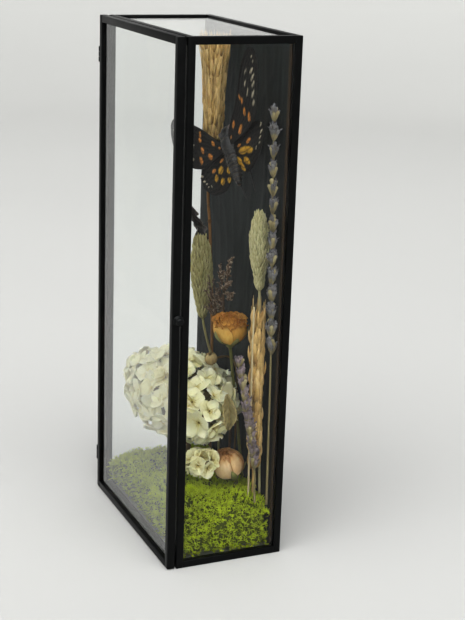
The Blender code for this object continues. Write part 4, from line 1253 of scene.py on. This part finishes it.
class BOX_OT_sprigs(bpy.types.Operator):
    """Make the statice sprig and the two dried leaves"""

    bl_idname = "display_box.sprigs"
    bl_label = "Sprigs and leaves"

    def execute(self, context):
        self.statice()
        self.leaf("curled_leaf", "leaf_dark", 1.1, 1.0, [
            (0.0, (0.010, 0.008, 0.007)), (0.45, (0.045, 0.036, 0.028)), (1.0, (0.26, 0.24, 0.24))])
        self.leaf("dried_leaf", "leaf_olive", 0.5, 0.25, [
            (0.0, (0.10, 0.075, 0.025)), (0.6, (0.28, 0.23, 0.10)), (1.0, (0.48, 0.42, 0.24))])
        return {"FINISHED"}

    def statice(self):
        """A wiry sprig that forks twice, with papery flower scraps along its ends."""
        rng = random.Random(77)
        low = hidden_box("statice_sprig")[0]
        foot = Vector((0.0010, 0.0284, low.z - 0.003))
        knee = Vector((0.0018, 0.0284, 0.0960))
        fork = Vector((0.0040, 0.0210, 0.1180))
        upper = Vector((0.0150, 0.0150, 0.1470))
        tips = [(upper, (0.0312, 0.0128, 0.1720)), (upper, (0.0130, 0.0135, 0.1640)),
                (upper, (0.0330, 0.0110, 0.1575)), (fork, (0.0050, 0.0165, 0.1500)),
                (fork, (-0.0040, 0.0135, 0.1520)), (fork, (-0.0045, 0.0125, 0.1430)),
                (fork, (0.0015, 0.0112, 0.1370)), (upper, (0.0290, 0.0150, 0.1480))]
        soup = Soup()
        stem = curve_between([foot, knee, fork, upper], 30)
        soup.add_rod(stem, np.linspace(0.0009, 0.0006, 30), 6, 0.3, 0.2)
        for start, tip in tips:
            tip = Vector(tip)
            self.twig(soup, start, tip, rng)
            for _ in range(2):
                base = start.lerp(tip, rng.uniform(0.2, 0.6))
                spans = ((-0.005, 0.005), (-0.003, 0.003), (-0.002, 0.004))
                stray = Vector([rng.uniform(*span) for span in spans])
                self.twig(soup, base, base.lerp(tip, 0.8) + stray, rng)
        scraps = plant_finish(
            "dried statice",
            [(0.0, (0.06, 0.035, 0.02)), (0.4, (0.17, 0.11, 0.07)), (0.75, (0.33, 0.25, 0.18)),
             (1.0, (0.54, 0.44, 0.34))], None, 0.85, 1500, 0.4, 0.05)
        soup.hold(1, *DOOR_TO_BOARD)
        fit(soup.to_object("statice_flowers", scraps), CASE, "statice", "statice_sprig")

    def twig(self, soup, start, end, rng):
        """One twig with scraps of flower on its outer half."""
        bend = jitter(rng, 0.0015)
        spine = curve_between([start, start.lerp(end, 0.5) + bend, end], 10)
        soup.add_rod(spine, np.linspace(0.0005, 0.0003, 10), 5, 0.2, 0.2)
        for _ in range(20):
            place = Vector(spine[rng.randrange(2, 10)])
            heading = Vector((rng.uniform(-1, 1), rng.uniform(-1, 1), rng.uniform(0.0, 1.2))).normalized()
            size = rng.uniform(0.0013, 0.0023)
            points, faces, reach = husk_patch(size, size * rng.uniform(0.35, 0.7), 5, 0.6, 0.25)
            matrix = placed(place, heading, rng.uniform(*ANY_ANGLE))
            soup.add_moved(matrix, points, faces, 0.15 + 0.6 * reach + rng.uniform(-0.1, 0.3), reach)

    def leaf(self, node, slot, curl, ragged, tones):
        """A dried leaf with a midrib and curled edges, laid where its solid's blade is."""
        low, high = hidden_box(node)
        centre = (low + high) / 2
        size = high - low
        if node == "curled_leaf":
            centre = Vector((-0.0385, 0.0185, 0.1760))
            size = Vector((0.0076, 0.0120, 0.0210))
        rng = random.Random(len(node))

        def place(s, t):
            across = 2 * s - 1
            wide = np.sin(math.pi * np.clip(t, 0.02, 0.98)) ** 0.75
            bites = 0.30 + 0.30 * np.sin(9 * t + 2 * across) + 0.16 * np.sin(31 * t + 5 * across)
            wide = wide * (1 - ragged * bites)
            z = centre.z + size.z * 0.5 * (2 * t - 1)
            sway = ragged * 0.3 * np.sin(4.5 * t)
            y = centre.y + size.y * 0.5 * (across * wide * (1 - 0.25 * curl * across ** 2) + sway)
            bow = 0.30 * np.sin(3.2 * t + 0.6)
            x = centre.x + size.x * (curl * 0.5 * across ** 2 * wide - 0.1 + bow - 0.15)
            x = x + 0.0003 * np.sin(26 * t + 6 * np.abs(across)) + 0.0005 * np.exp(-(across * 9) ** 2)
            x = x + ragged * size.x * 0.12 * np.sin(17 * t + 5 * across)
            return np.stack((x, y, z), axis=2)

        points, faces, s, t = double_sheet(19, 34, place, 0.0003)
        soup = Soup()
        if node == "curled_leaf":
            stalk = curve_between([(-0.0305, 0.0239, 0.1680), (-0.0340, 0.0215, 0.1715), tuple(centre)], 9)
            soup.add_rod(stalk, 0.0005, 6, 0.35)
        edge = np.abs(2 * s - 1)
        soup.add(points, faces, np.clip(0.4 + 0.35 * edge + rng.uniform(-0.05, 0.05), 0, 1), edge)
        edges = [(0.0, (1.2, 1.1, 0.9)), (0.1, (0.9, 0.9, 0.9)), (0.8, (1, 1, 1)), (1.0, (1.5, 1.45, 1.3))]
        finish = plant_finish(node.replace("_", " "), tones, edges, 0.65, 700, 0.5, 0.1)
        fit(soup.to_object(node + "_blade", finish), CASE, slot, node)


# Cicada

# Outlines of the near wings from root to tip, in millimetres in the cicada's own axes
FORE_FRONT = [(1.5, 4.5), (6, 8.5), (12, 14.5), (20, 23.5), (29, 32.5), (36, 38.5), (41, 40.5), (44.5, 38.5)]
FORE_REAR = [(1.5, 1.0), (8, -0.5), (16, -1.0), (26, 0.5), (35, 5.5), (42, 14.5), (45.5, 24), (46.0, 34)]
HIND_FRONT = [(1.5, 1.0), (8, 2.4), (16, 3.0), (24, 3.0), (30, 1.6), (33.5, -2.0)]
HIND_REAR = [(1.5, -3.0), (3.0, -11), (7.5, -18.0), (14, -20.5), (24, -17.5), (33.0, -8.5)]
# Marks on the wings: colour, middle, half length and half width in millimetres, and turn in degrees
FORE_MARKS = [
    ("orange", 21.8, 20.6, 1.9, 1.0, 95), ("orange", 23.2, 17.4, 1.7, 1.0, 75),
    ("orange", 22.9, 10.8, 2.5, 1.2, 72), ("orange", 26.0, 5.8, 2.6, 1.3, 80),
    ("orange", 11.2, 8.9, 2.5, 1.2, 66), ("orange", 16.2, 3.2, 2.9, 1.5, 50),
    ("orange", 6.4, 3.6, 1.2, 0.7, 45), ("cream", 42.1, 34.3, 0.9, 0.6, 40),
    ("cream", 42.3, 31.0, 1.1, 0.6, 60), ("cream", 34.3, 29.6, 1.9, 0.6, 24),
    ("cream", 39.3, 26.8, 2.2, 1.0, 22), ("cream", 39.1, 22.9, 2.5, 0.9, 20),
    ("cream", 30.8, 24.0, 1.9, 0.8, 36), ("cream", 38.0, 19.0, 2.1, 1.0, 26),
    ("cream", 30.6, 18.6, 2.4, 0.7, 40), ("cream", 35.5, 14.7, 2.6, 1.0, 20),
    ("cream", 33.6, 10.4, 1.8, 1.0, 30),
]
HIND_MARKS = [
    ("yellow", 12.1, -7.4, 4.8, 2.2, -18), ("yellow", 17.4, -9.9, 3.6, 2.1, -30),
    ("yellow", 5.6, -10.6, 3.8, 1.9, -58), ("yellow", 12.8, -14.2, 3.6, 1.9, -48),
    ("yellow", 7.5, -15.9, 2.8, 1.5, -66), ("orange", 18.6, -4.7, 2.2, 1.2, 10),
    ("orange", 9.4, -2.8, 1.8, 0.9, -10), ("cream", 31.7, -1.5, 1.8, 0.7, 34),
    ("cream", 30.5, -5.4, 1.6, 0.65, 30), ("cream", 28.5, -8.0, 1.1, 0.6, 24),
    ("cream", 27.4, -10.6, 0.9, 0.5, 20), ("cream", 23.8, -11.9, 1.0, 0.55, 60),
]


def smooth_path(points, count):
    """A curve through outline points, in metres."""
    flat = curve_between([(x * MM, y * MM, 0) for x, y in points], count)
    return flat[:, :2]


class BOX_OT_cicada(bpy.types.Operator):
    """Make the spread cicada: body, wings, legs, and the pin behind it"""

    bl_idname = "display_box.cicada"
    bl_label = "Cicada"

    def execute(self, context):
        settings = context.scene.cicada_settings
        dorsal = CICADA_ACROSS.cross(CICADA_AHEAD).normalized()
        across = CICADA_AHEAD.cross(dorsal)
        self.place = Matrix((across, CICADA_AHEAD, dorsal)).transposed().to_4x4()
        self.place.translation = CICADA_CENTRE
        self.palette = {"orange": settings.orange, "cream": settings.cream, "yellow": settings.yellow}
        wings = self.wings()
        body = self.body()
        fit(body, CASE, "cicada_black", "cicada")
        fit(wings, CASE, "cicada_black")
        repaint("cicada_pin", black_paint("black pin steel", 0.25, 0.02))
        return {"FINISHED"}

    def limb(self, soup, spine, radii, sides, tone):
        """Add a tube given in the cicada's own axes."""
        soup.add_moved(self.place, *rod(spine, radii, sides), tone, 0.5, 0.0)

    def wings(self):
        """Four leathery wings with raised veins and their coloured marks."""
        soup = Soup()
        colours = []
        for side in (1, -1):
            for front, rear, marks, lift, rise in (
                    (FORE_FRONT, FORE_REAR, FORE_MARKS, 0.0019, 0.05),
                    (HIND_FRONT, HIND_REAR, HIND_MARKS, 0.0003, 0.02)):
                if side < 0:
                    marks = [(kind, x, y, long * (0.55 if kind == "yellow" else 1), wide, turn)
                             for kind, x, y, long, wide, turn in marks]
                columns, rows = 104, 46
                lead = smooth_path(front, columns)
                trail = smooth_path(rear, columns)
                veins = 9 if front is FORE_FRONT else 8

                def place(s, t):
                    n = (s * (columns - 1)).round().astype(int)
                    xy = lead[n] * (1 - t[..., None]) + trail[n] * t[..., None]
                    crinkle = 0.0006 * np.sin(xy[..., 0] * 150 + xy[..., 1] * 90)
                    z = lift + rise * xy[..., 0]
                    z = z + self.vein_height(s, t, veins) * 0.00016 + crinkle
                    z = z + 0.0004 * np.exp(-(t / 0.03) ** 2)
                    return np.stack((xy[..., 0], xy[..., 1], z), axis=2)

                points, faces, s, t = double_sheet(columns, rows, place, 0.00022)
                colour, shine = self.mark_colours(points, s, t, marks, veins)
                points[:, 0] *= side
                if side < 0:
                    faces = [tuple(reversed(face)) for face in faces]
                soup.add_moved(self.place, points, faces, 0.5, shine)
                colours.append(colour)
        piece = soup.to_object("cicada_wings", self.wing_finish())
        paint = piece.data.attributes.new("paint", "FLOAT_COLOR", "POINT")
        paint.data.foreach_set("color", np.vstack(colours).astype(np.float32).ravel())
        return piece

    def vein_height(self, s, t, veins):
        """Long veins that fan from the wing's root, and cross veins towards the margin."""
        fan = (t + 0.10 * np.sin(3 * s)) * veins
        long_vein = np.exp(-((fan - np.round(fan)) / 0.09) ** 2)
        cross = s * 7 + 0.35 * np.sin(t * veins * math.pi)
        cross_vein = np.exp(-((cross - np.round(cross)) / 0.05) ** 2) * (s > 0.42)
        return np.maximum(long_vein, 0.8 * cross_vein) * np.clip((1 - s) * 12, 0.3, 1)

    def mark_colours(self, points, s, t, marks, veins):
        """Black wing skin with ringed marks; veins stay dark across them."""
        x, y = points[:, 0] / MM, points[:, 1] / MM
        wobble = 0.22 * np.sin(x * 1.9 + y * 2.3) + 0.12 * np.sin(x * 4.1 - y * 3.3)
        colour = np.tile((0.0055, 0.005, 0.005), (len(points), 1))
        for kind, mx, my, long_half, wide_half, angle in marks:
            a = math.radians(angle)
            u = ((x - mx) * math.cos(a) + (y - my) * math.sin(a)) / long_half
            v = (-(x - mx) * math.sin(a) + (y - my) * math.cos(a)) / wide_half
            inside = np.clip((1.08 + wobble * 0.35 - np.sqrt(u * u + v * v)) * 5.0, 0, 1)[:, None]
            streak = 0.78 + 0.22 * np.sin(v * 3.2 + u * 1.5)[:, None]
            colour = colour * (1 - inside) + np.array(self.palette[kind]) * streak * inside
        vein = self.vein_height(s, t, veins)
        dark = np.clip(vein * 1.2, 0, 1)[:, None] * 0.75
        colour = colour * (1 - dark) + np.array((0.02, 0.013, 0.008)) * dark
        return np.hstack((colour, np.ones((len(points), 1)))), vein

    def wing_finish(self):
        """Leathery wing skin: satin, with glossier veins and a fine crinkle."""
        mat, tree, shader = new_finish("cicada wing", gloss=0.22)
        grain = noise_of(tree, 2600, 4.0, 0.6)
        shade = ramp_of(tree, grain, [(0.25, (0.72, 0.72, 0.72)), (0.75, (1.15, 1.15, 1.15))])
        skin = mix_of(tree, "MULTIPLY", 1.0, value_of(tree, "paint", "Color"), shade)
        tree.links.new(skin, shader.inputs["Base Color"])
        rough = range_of(tree, value_of(tree, "reach"), 0.62, 0.42)
        tree.links.new(rough.outputs["Result"], shader.inputs["Roughness"])
        bump_of(tree, shader, grain, 0.3, 0.0002)
        return mat

    def body(self):
        """Head, thorax plates, ringed abdomen, eyes, legs and short hairs."""
        rng = random.Random(8)
        noise.seed_set(8)
        soup = Soup()
        rings = [(13.6, 0.9, 0.9), (13.2, 2.4, 1.9), (12.3, 3.9, 2.8), (11.0, 4.7, 3.4), (9.8, 4.9, 3.7),
                 (9.2, 4.3, 3.7), (8.7, 4.6, 4.0), (7.5, 5.0, 4.3), (6.0, 5.1, 4.5), (5.5, 4.7, 4.5),
                 (4.9, 5.0, 4.8), (3.0, 5.2, 5.0), (1.0, 5.0, 4.9), (-1.0, 4.6, 4.6), (-2.4, 3.9, 4.1),
                 (-3.0, 4.4, 4.2)]
        reach = -3.0
        for k in range(9):
            taper = 1 - (k / 9.6) ** 1.9
            rings.append((reach - 0.5, 4.45 * taper + 0.15, 4.15 * taper + 0.1))
            rings.append((reach - 1.9, 4.50 * taper + 0.10, 4.20 * taper + 0.1))
            rings.append((reach - 2.15, 3.80 * taper + 0.05, 3.55 * taper + 0.05))
            reach -= 2.2
        sides = 40
        angles = np.arange(sides) * math.tau / sides
        keel = 1 + 0.05 * np.cos(2 * angles)
        points = np.vstack([
            np.stack((half * np.cos(angles) * MM, np.full(sides, place * MM),
                      deep * keel * np.sin(angles) * MM), axis=1) for place, half, deep in rings])
        for n in range(len(points)):
            points[n] += np.array(noise.noise_vector(Vector(points[n]) * 900)) * 0.00030
        faces = strip_faces(len(rings), sides)
        faces.append(tuple(range(sides - 1, -1, -1)))
        faces.append(tuple(range((len(rings) - 1) * sides, len(rings) * sides)))
        places = np.repeat([r[0] for r in rings], sides)
        collar = np.exp(-((places - 5.4) / 0.35) ** 2) * 0.40
        belly = np.array([0.46 if k > 15 and (k - 16) % 3 == 2 else 0.0 for k in range(len(rings))])
        mottle = np.array([noise.noise(Vector(p) * 1400) for p in points])
        tone = 0.10 + collar + np.repeat(belly, sides) + 0.34 * np.clip(mottle - 0.18, 0, 1) * (places > -3)
        soup.add_moved(self.place, points, faces, tone, 0.5, 0.0)
        for side in (1, -1):
            self.eye(soup, Vector((side * 5.0, 11.2, 0.8)) * MM)
            self.legs(soup, side, rng)
            self.feeler(soup, side)
        self.hairs(soup, rng)
        return soup.to_object("cicada_body", self.shell_finish())

    def eye(self, soup, centre):
        """A round dull red-grey eye."""
        soup.add_moved(self.place, *egg_patch(centre, (0.00155, 0.00145, 0.00155)), 0.6, 0.5, 1.0)

    def legs(self, soup, side, rng):
        """Three jointed legs on one side; the hind leg trails behind."""
        for reach, out, back, drop in ((6.0, 8.3, 4.0, 6.0), (1.0, 9.3, -6.0, 6.0), (-3.0, 5.8, -26.0, 5.8)):
            hip = (side * 3.0, reach, -3.0)
            knee = (side * out, reach + back * 0.4, -4.6)
            ankle = (side * out * 0.9, reach + back * 0.85, -drop)
            toe = (side * out * 0.78, reach + back, -drop - 0.3)
            spine = curve_between([tuple(c * MM for c in p) for p in (hip, knee, ankle, toe)], 19)
            radii = [0.00062] * 5 + [0.00075, 0.0006] + [0.00042] * 6 + [0.00034] * 3 + [0.00026] * 3
            self.limb(soup, spine, radii, 8, 0.15)
            for n in range(8, 17, 2):
                spur = Vector(spine[n])
                end = spur + Vector((side * 0.0007, -0.0005, rng.uniform(-0.0003, 0.0003)))
                self.limb(soup, [spur, end], [0.00012, 0.00004], 4, 0.3)

    def feeler(self, soup, side):
        """A short bristle feeler before the eye."""
        start = Vector((side * 2.6, 12.8, 1.0)) * MM
        end = start + Vector((side * 1.6, 2.0, 0.5)) * MM
        middle = start.lerp(end, 0.5) + Vector((0, 0.0002, 0))
        self.limb(soup, [start, middle, end], [0.00016, 0.00010, 0.00004], 5, 0.2)

    def hairs(self, soup, rng):
        """Short pale down along the thorax and the rings of the abdomen."""
        for _ in range(520):
            place = rng.uniform(-21, 9)
            angle = rng.uniform(0.05, math.pi - 0.05)
            half = 4.7 if place > -3 else 4.5 * (1 - ((-3 - place) / 21) ** 1.9)
            root = Vector((half * math.cos(angle), place, half * 0.95 * math.sin(angle))) * MM
            out = Vector((math.cos(angle), rng.uniform(-1.2, -0.2), math.sin(angle))).normalized()
            self.limb(soup, [root, root + out * rng.uniform(0.0005, 0.0010)], [0.00005, 0.00002], 3, 0.85)

    def shell_finish(self):
        """Black shell, satin, brown where thin; the eyes are a dull red-grey."""
        mat, tree, shader = new_finish("cicada shell", 0.36)
        shell = ramp_of(tree, "tone", [
            (0.0, (0.004, 0.004, 0.004)), (0.3, (0.011, 0.009, 0.008)), (0.6, (0.085, 0.055, 0.030)),
            (1.0, (0.34, 0.30, 0.24))])
        eyes = mix_of(tree, "MIX", value_of(tree, "hue"), shell, (0.13, 0.095, 0.09, 1))
        tree.links.new(eyes, shader.inputs["Base Color"])
        bump_of(tree, shader, noise_of(tree, 1500, 5.0, 0.65), 0.5, 0.0003)
        return mat


# Stage

class BOX_OT_stage(bpy.types.Operator):
    """Make the pale floor and backdrop, the studio lights and the camera"""

    bl_idname = "display_box.stage"
    bl_label = "Stage"

    def execute(self, context):
        settings = context.scene.stage_settings
        self.floor(settings.floor_colour)
        self.light("overhead light", (0.10, -0.25, 1.35), (0.0, 0.0, 0.1), 1.5, 1.3, settings.key_power)
        self.room_light(settings.room_strength, settings.window_strength)
        bpy.context.scene.view_settings.view_transform = "Standard"
        bpy.context.scene.view_settings.gamma = 0.8
        self.camera()
        return {"FINISHED"}

    def floor(self, colour):
        """One round sheet: flat under the box and swept up into a backdrop far off on every side, painted
        darker away from the camera as painted shade.
        """
        turn = math.radians(CAMERA_AZIMUTH)

        def place(s, t):
            reach = 0.001 + FLOOR_RADIUS * t
            swept = (reach - FLAT_RADIUS) / (FLOOR_RADIUS - FLAT_RADIUS)
            rise = np.where(swept > 0, BACKDROP_HEIGHT * swept ** 2, 0.0)
            return np.stack((reach * np.cos(s * math.tau), reach * np.sin(s * math.tau), rise), axis=2)

        points, faces, s, t = grid_patch(73, 60, place)
        run = points[:, 1] * math.cos(turn) - points[:, 0] * math.sin(turn)
        soup = Soup()
        soup.add(points, faces, np.clip((run + 2.0) / 5.2, 0, 1), s)
        mat, tree, shader = new_finish("pale studio floor", 0.7)
        cloud = noise_of(tree, 3, 2.0, 0.5)
        shade = ramp_of(tree, cloud, [(0.3, tuple(c * 0.985 for c in colour)), (0.7, tuple(colour))])
        # Painted shade: the sheet darkens with distance from the camera.
        deep = ramp_of(tree, "tone", [(0.40, (1, 1, 1)), (0.75, (0.74, 0.74, 0.735))])
        tree.links.new(mix_of(tree, "MULTIPLY", 1.0, shade, deep), shader.inputs["Base Color"])
        soup.to_object("studio_floor", mat)

    def room_light(self, strength, window):
        """Even white light from all round, with one broad soft glow above the camera's side."""
        world = bpy.data.worlds.new("studio air")
        bpy.context.scene.world = world
        world.use_nodes = True
        tree = world.node_tree
        air = tree.nodes["Background"]
        air.inputs["Color"].default_value = (0.98, 0.99, 1.0, 1)
        where = tree.nodes.new("ShaderNodeTexCoord")
        facing = tree.nodes.new("ShaderNodeVectorMath")
        facing.operation = "DOT_PRODUCT"
        tree.links.new(where.outputs["Generated"], facing.inputs[0])
        facing.inputs[1].default_value = Vector((0.66, -0.42, 0.62)).normalized()
        glow = range_of(tree, facing.outputs["Value"], strength, strength + window)
        glow.interpolation_type = "SMOOTHERSTEP"
        set_inputs(glow, {"From Min": 0.35, "From Max": 0.97})
        tree.links.new(glow.outputs["Result"], air.inputs["Strength"])

    def light(self, name, place, target, wide, high, power):
        """A soft rectangular light aimed at the box."""
        lamp = bpy.data.lights.new(name, "AREA")
        lamp.shape = "RECTANGLE"
        lamp.size = wide
        lamp.size_y = high
        lamp.energy = power
        holder = bpy.data.objects.new(name, lamp)
        holder.location = place
        holder.rotation_mode = "QUATERNION"
        holder.rotation_quaternion = (Vector(target) - Vector(place)).to_track_quat("-Z", "Y")
        bpy.context.scene.collection.objects.link(holder)

    def camera(self):
        """The camera at the photograph's place."""
        azimuth = math.radians(CAMERA_AZIMUTH)
        elevation = math.radians(CAMERA_ELEVATION)
        roll = math.radians(CAMERA_ROLL)
        back = Vector((math.sin(azimuth) * math.cos(elevation), -math.cos(azimuth) * math.cos(elevation),
                       math.sin(elevation)))
        right = Vector((math.cos(azimuth), math.sin(azimuth), 0))
        up = back.cross(right)
        level = right * math.cos(roll) + up * math.sin(roll)
        upright = up * math.cos(roll) - right * math.sin(roll)
        lens = bpy.data.cameras.new("photo camera")
        lens.lens = CAMERA_LENS
        lens.sensor_width = SENSOR
        lens.clip_start = 0.05
        lens.clip_end = 30
        view = bpy.data.objects.new("photo camera", lens)
        bpy.context.scene.collection.objects.link(view)
        stand = Matrix((level, upright, back)).transposed().to_4x4()
        stand.translation = Vector(CAMERA_PLACE)
        view.matrix_world = stand
        bpy.context.scene.camera = view


STEPS = (BOX_OT_stage, BOX_OT_case, BOX_OT_glass, BOX_OT_board, BOX_OT_door, BOX_OT_moss, BOX_OT_hydrangea,
         BOX_OT_roses, BOX_OT_lavender, BOX_OT_wheat, BOX_OT_grasses, BOX_OT_sprigs, BOX_OT_cicada)


class BOX_PT_panel(bpy.types.Panel):
    """The display box's settings and steps"""

    bl_label = "Display box"
    bl_idname = "BOX_PT_panel"
    bl_space_type = "VIEW_3D"
    bl_region_type = "UI"
    bl_category = "Display box"

    def draw(self, context):
        for group in ("box_settings", "flower_settings", "cicada_settings", "stage_settings"):
            settings = getattr(context.scene, group)
            for key in settings.bl_rna.properties.keys():
                if key not in ("rna_type", "name"):
                    self.layout.prop(settings, key)
        for step in STEPS:
            self.layout.operator(step.bl_idname)


GROUPS = {
    "box_settings": BoxSettings, "flower_settings": FlowerSettings, "cicada_settings": CicadaSettings,
    "stage_settings": StageSettings}


def register():
    """Register the settings, the steps and the panel."""
    for group in GROUPS.values():
        bpy.utils.register_class(group)
    for key, group in GROUPS.items():
        setattr(bpy.types.Scene, key, bpy.props.PointerProperty(type=group))
    for step in STEPS:
        bpy.utils.register_class(step)
    bpy.utils.register_class(BOX_PT_panel)


def unregister():
    """Take everything out again."""
    bpy.utils.unregister_class(BOX_PT_panel)
    for step in reversed(STEPS):
        bpy.utils.unregister_class(step)
    for key, group in GROUPS.items():
        delattr(bpy.types.Scene, key)
        bpy.utils.unregister_class(group)


def main():
    """Dress the whole box."""
    register()
    for step in STEPS:
        category, name = step.bl_idname.split(".")
        getattr(getattr(bpy.ops, category), name)()


if __name__ == "__main__":
    main()
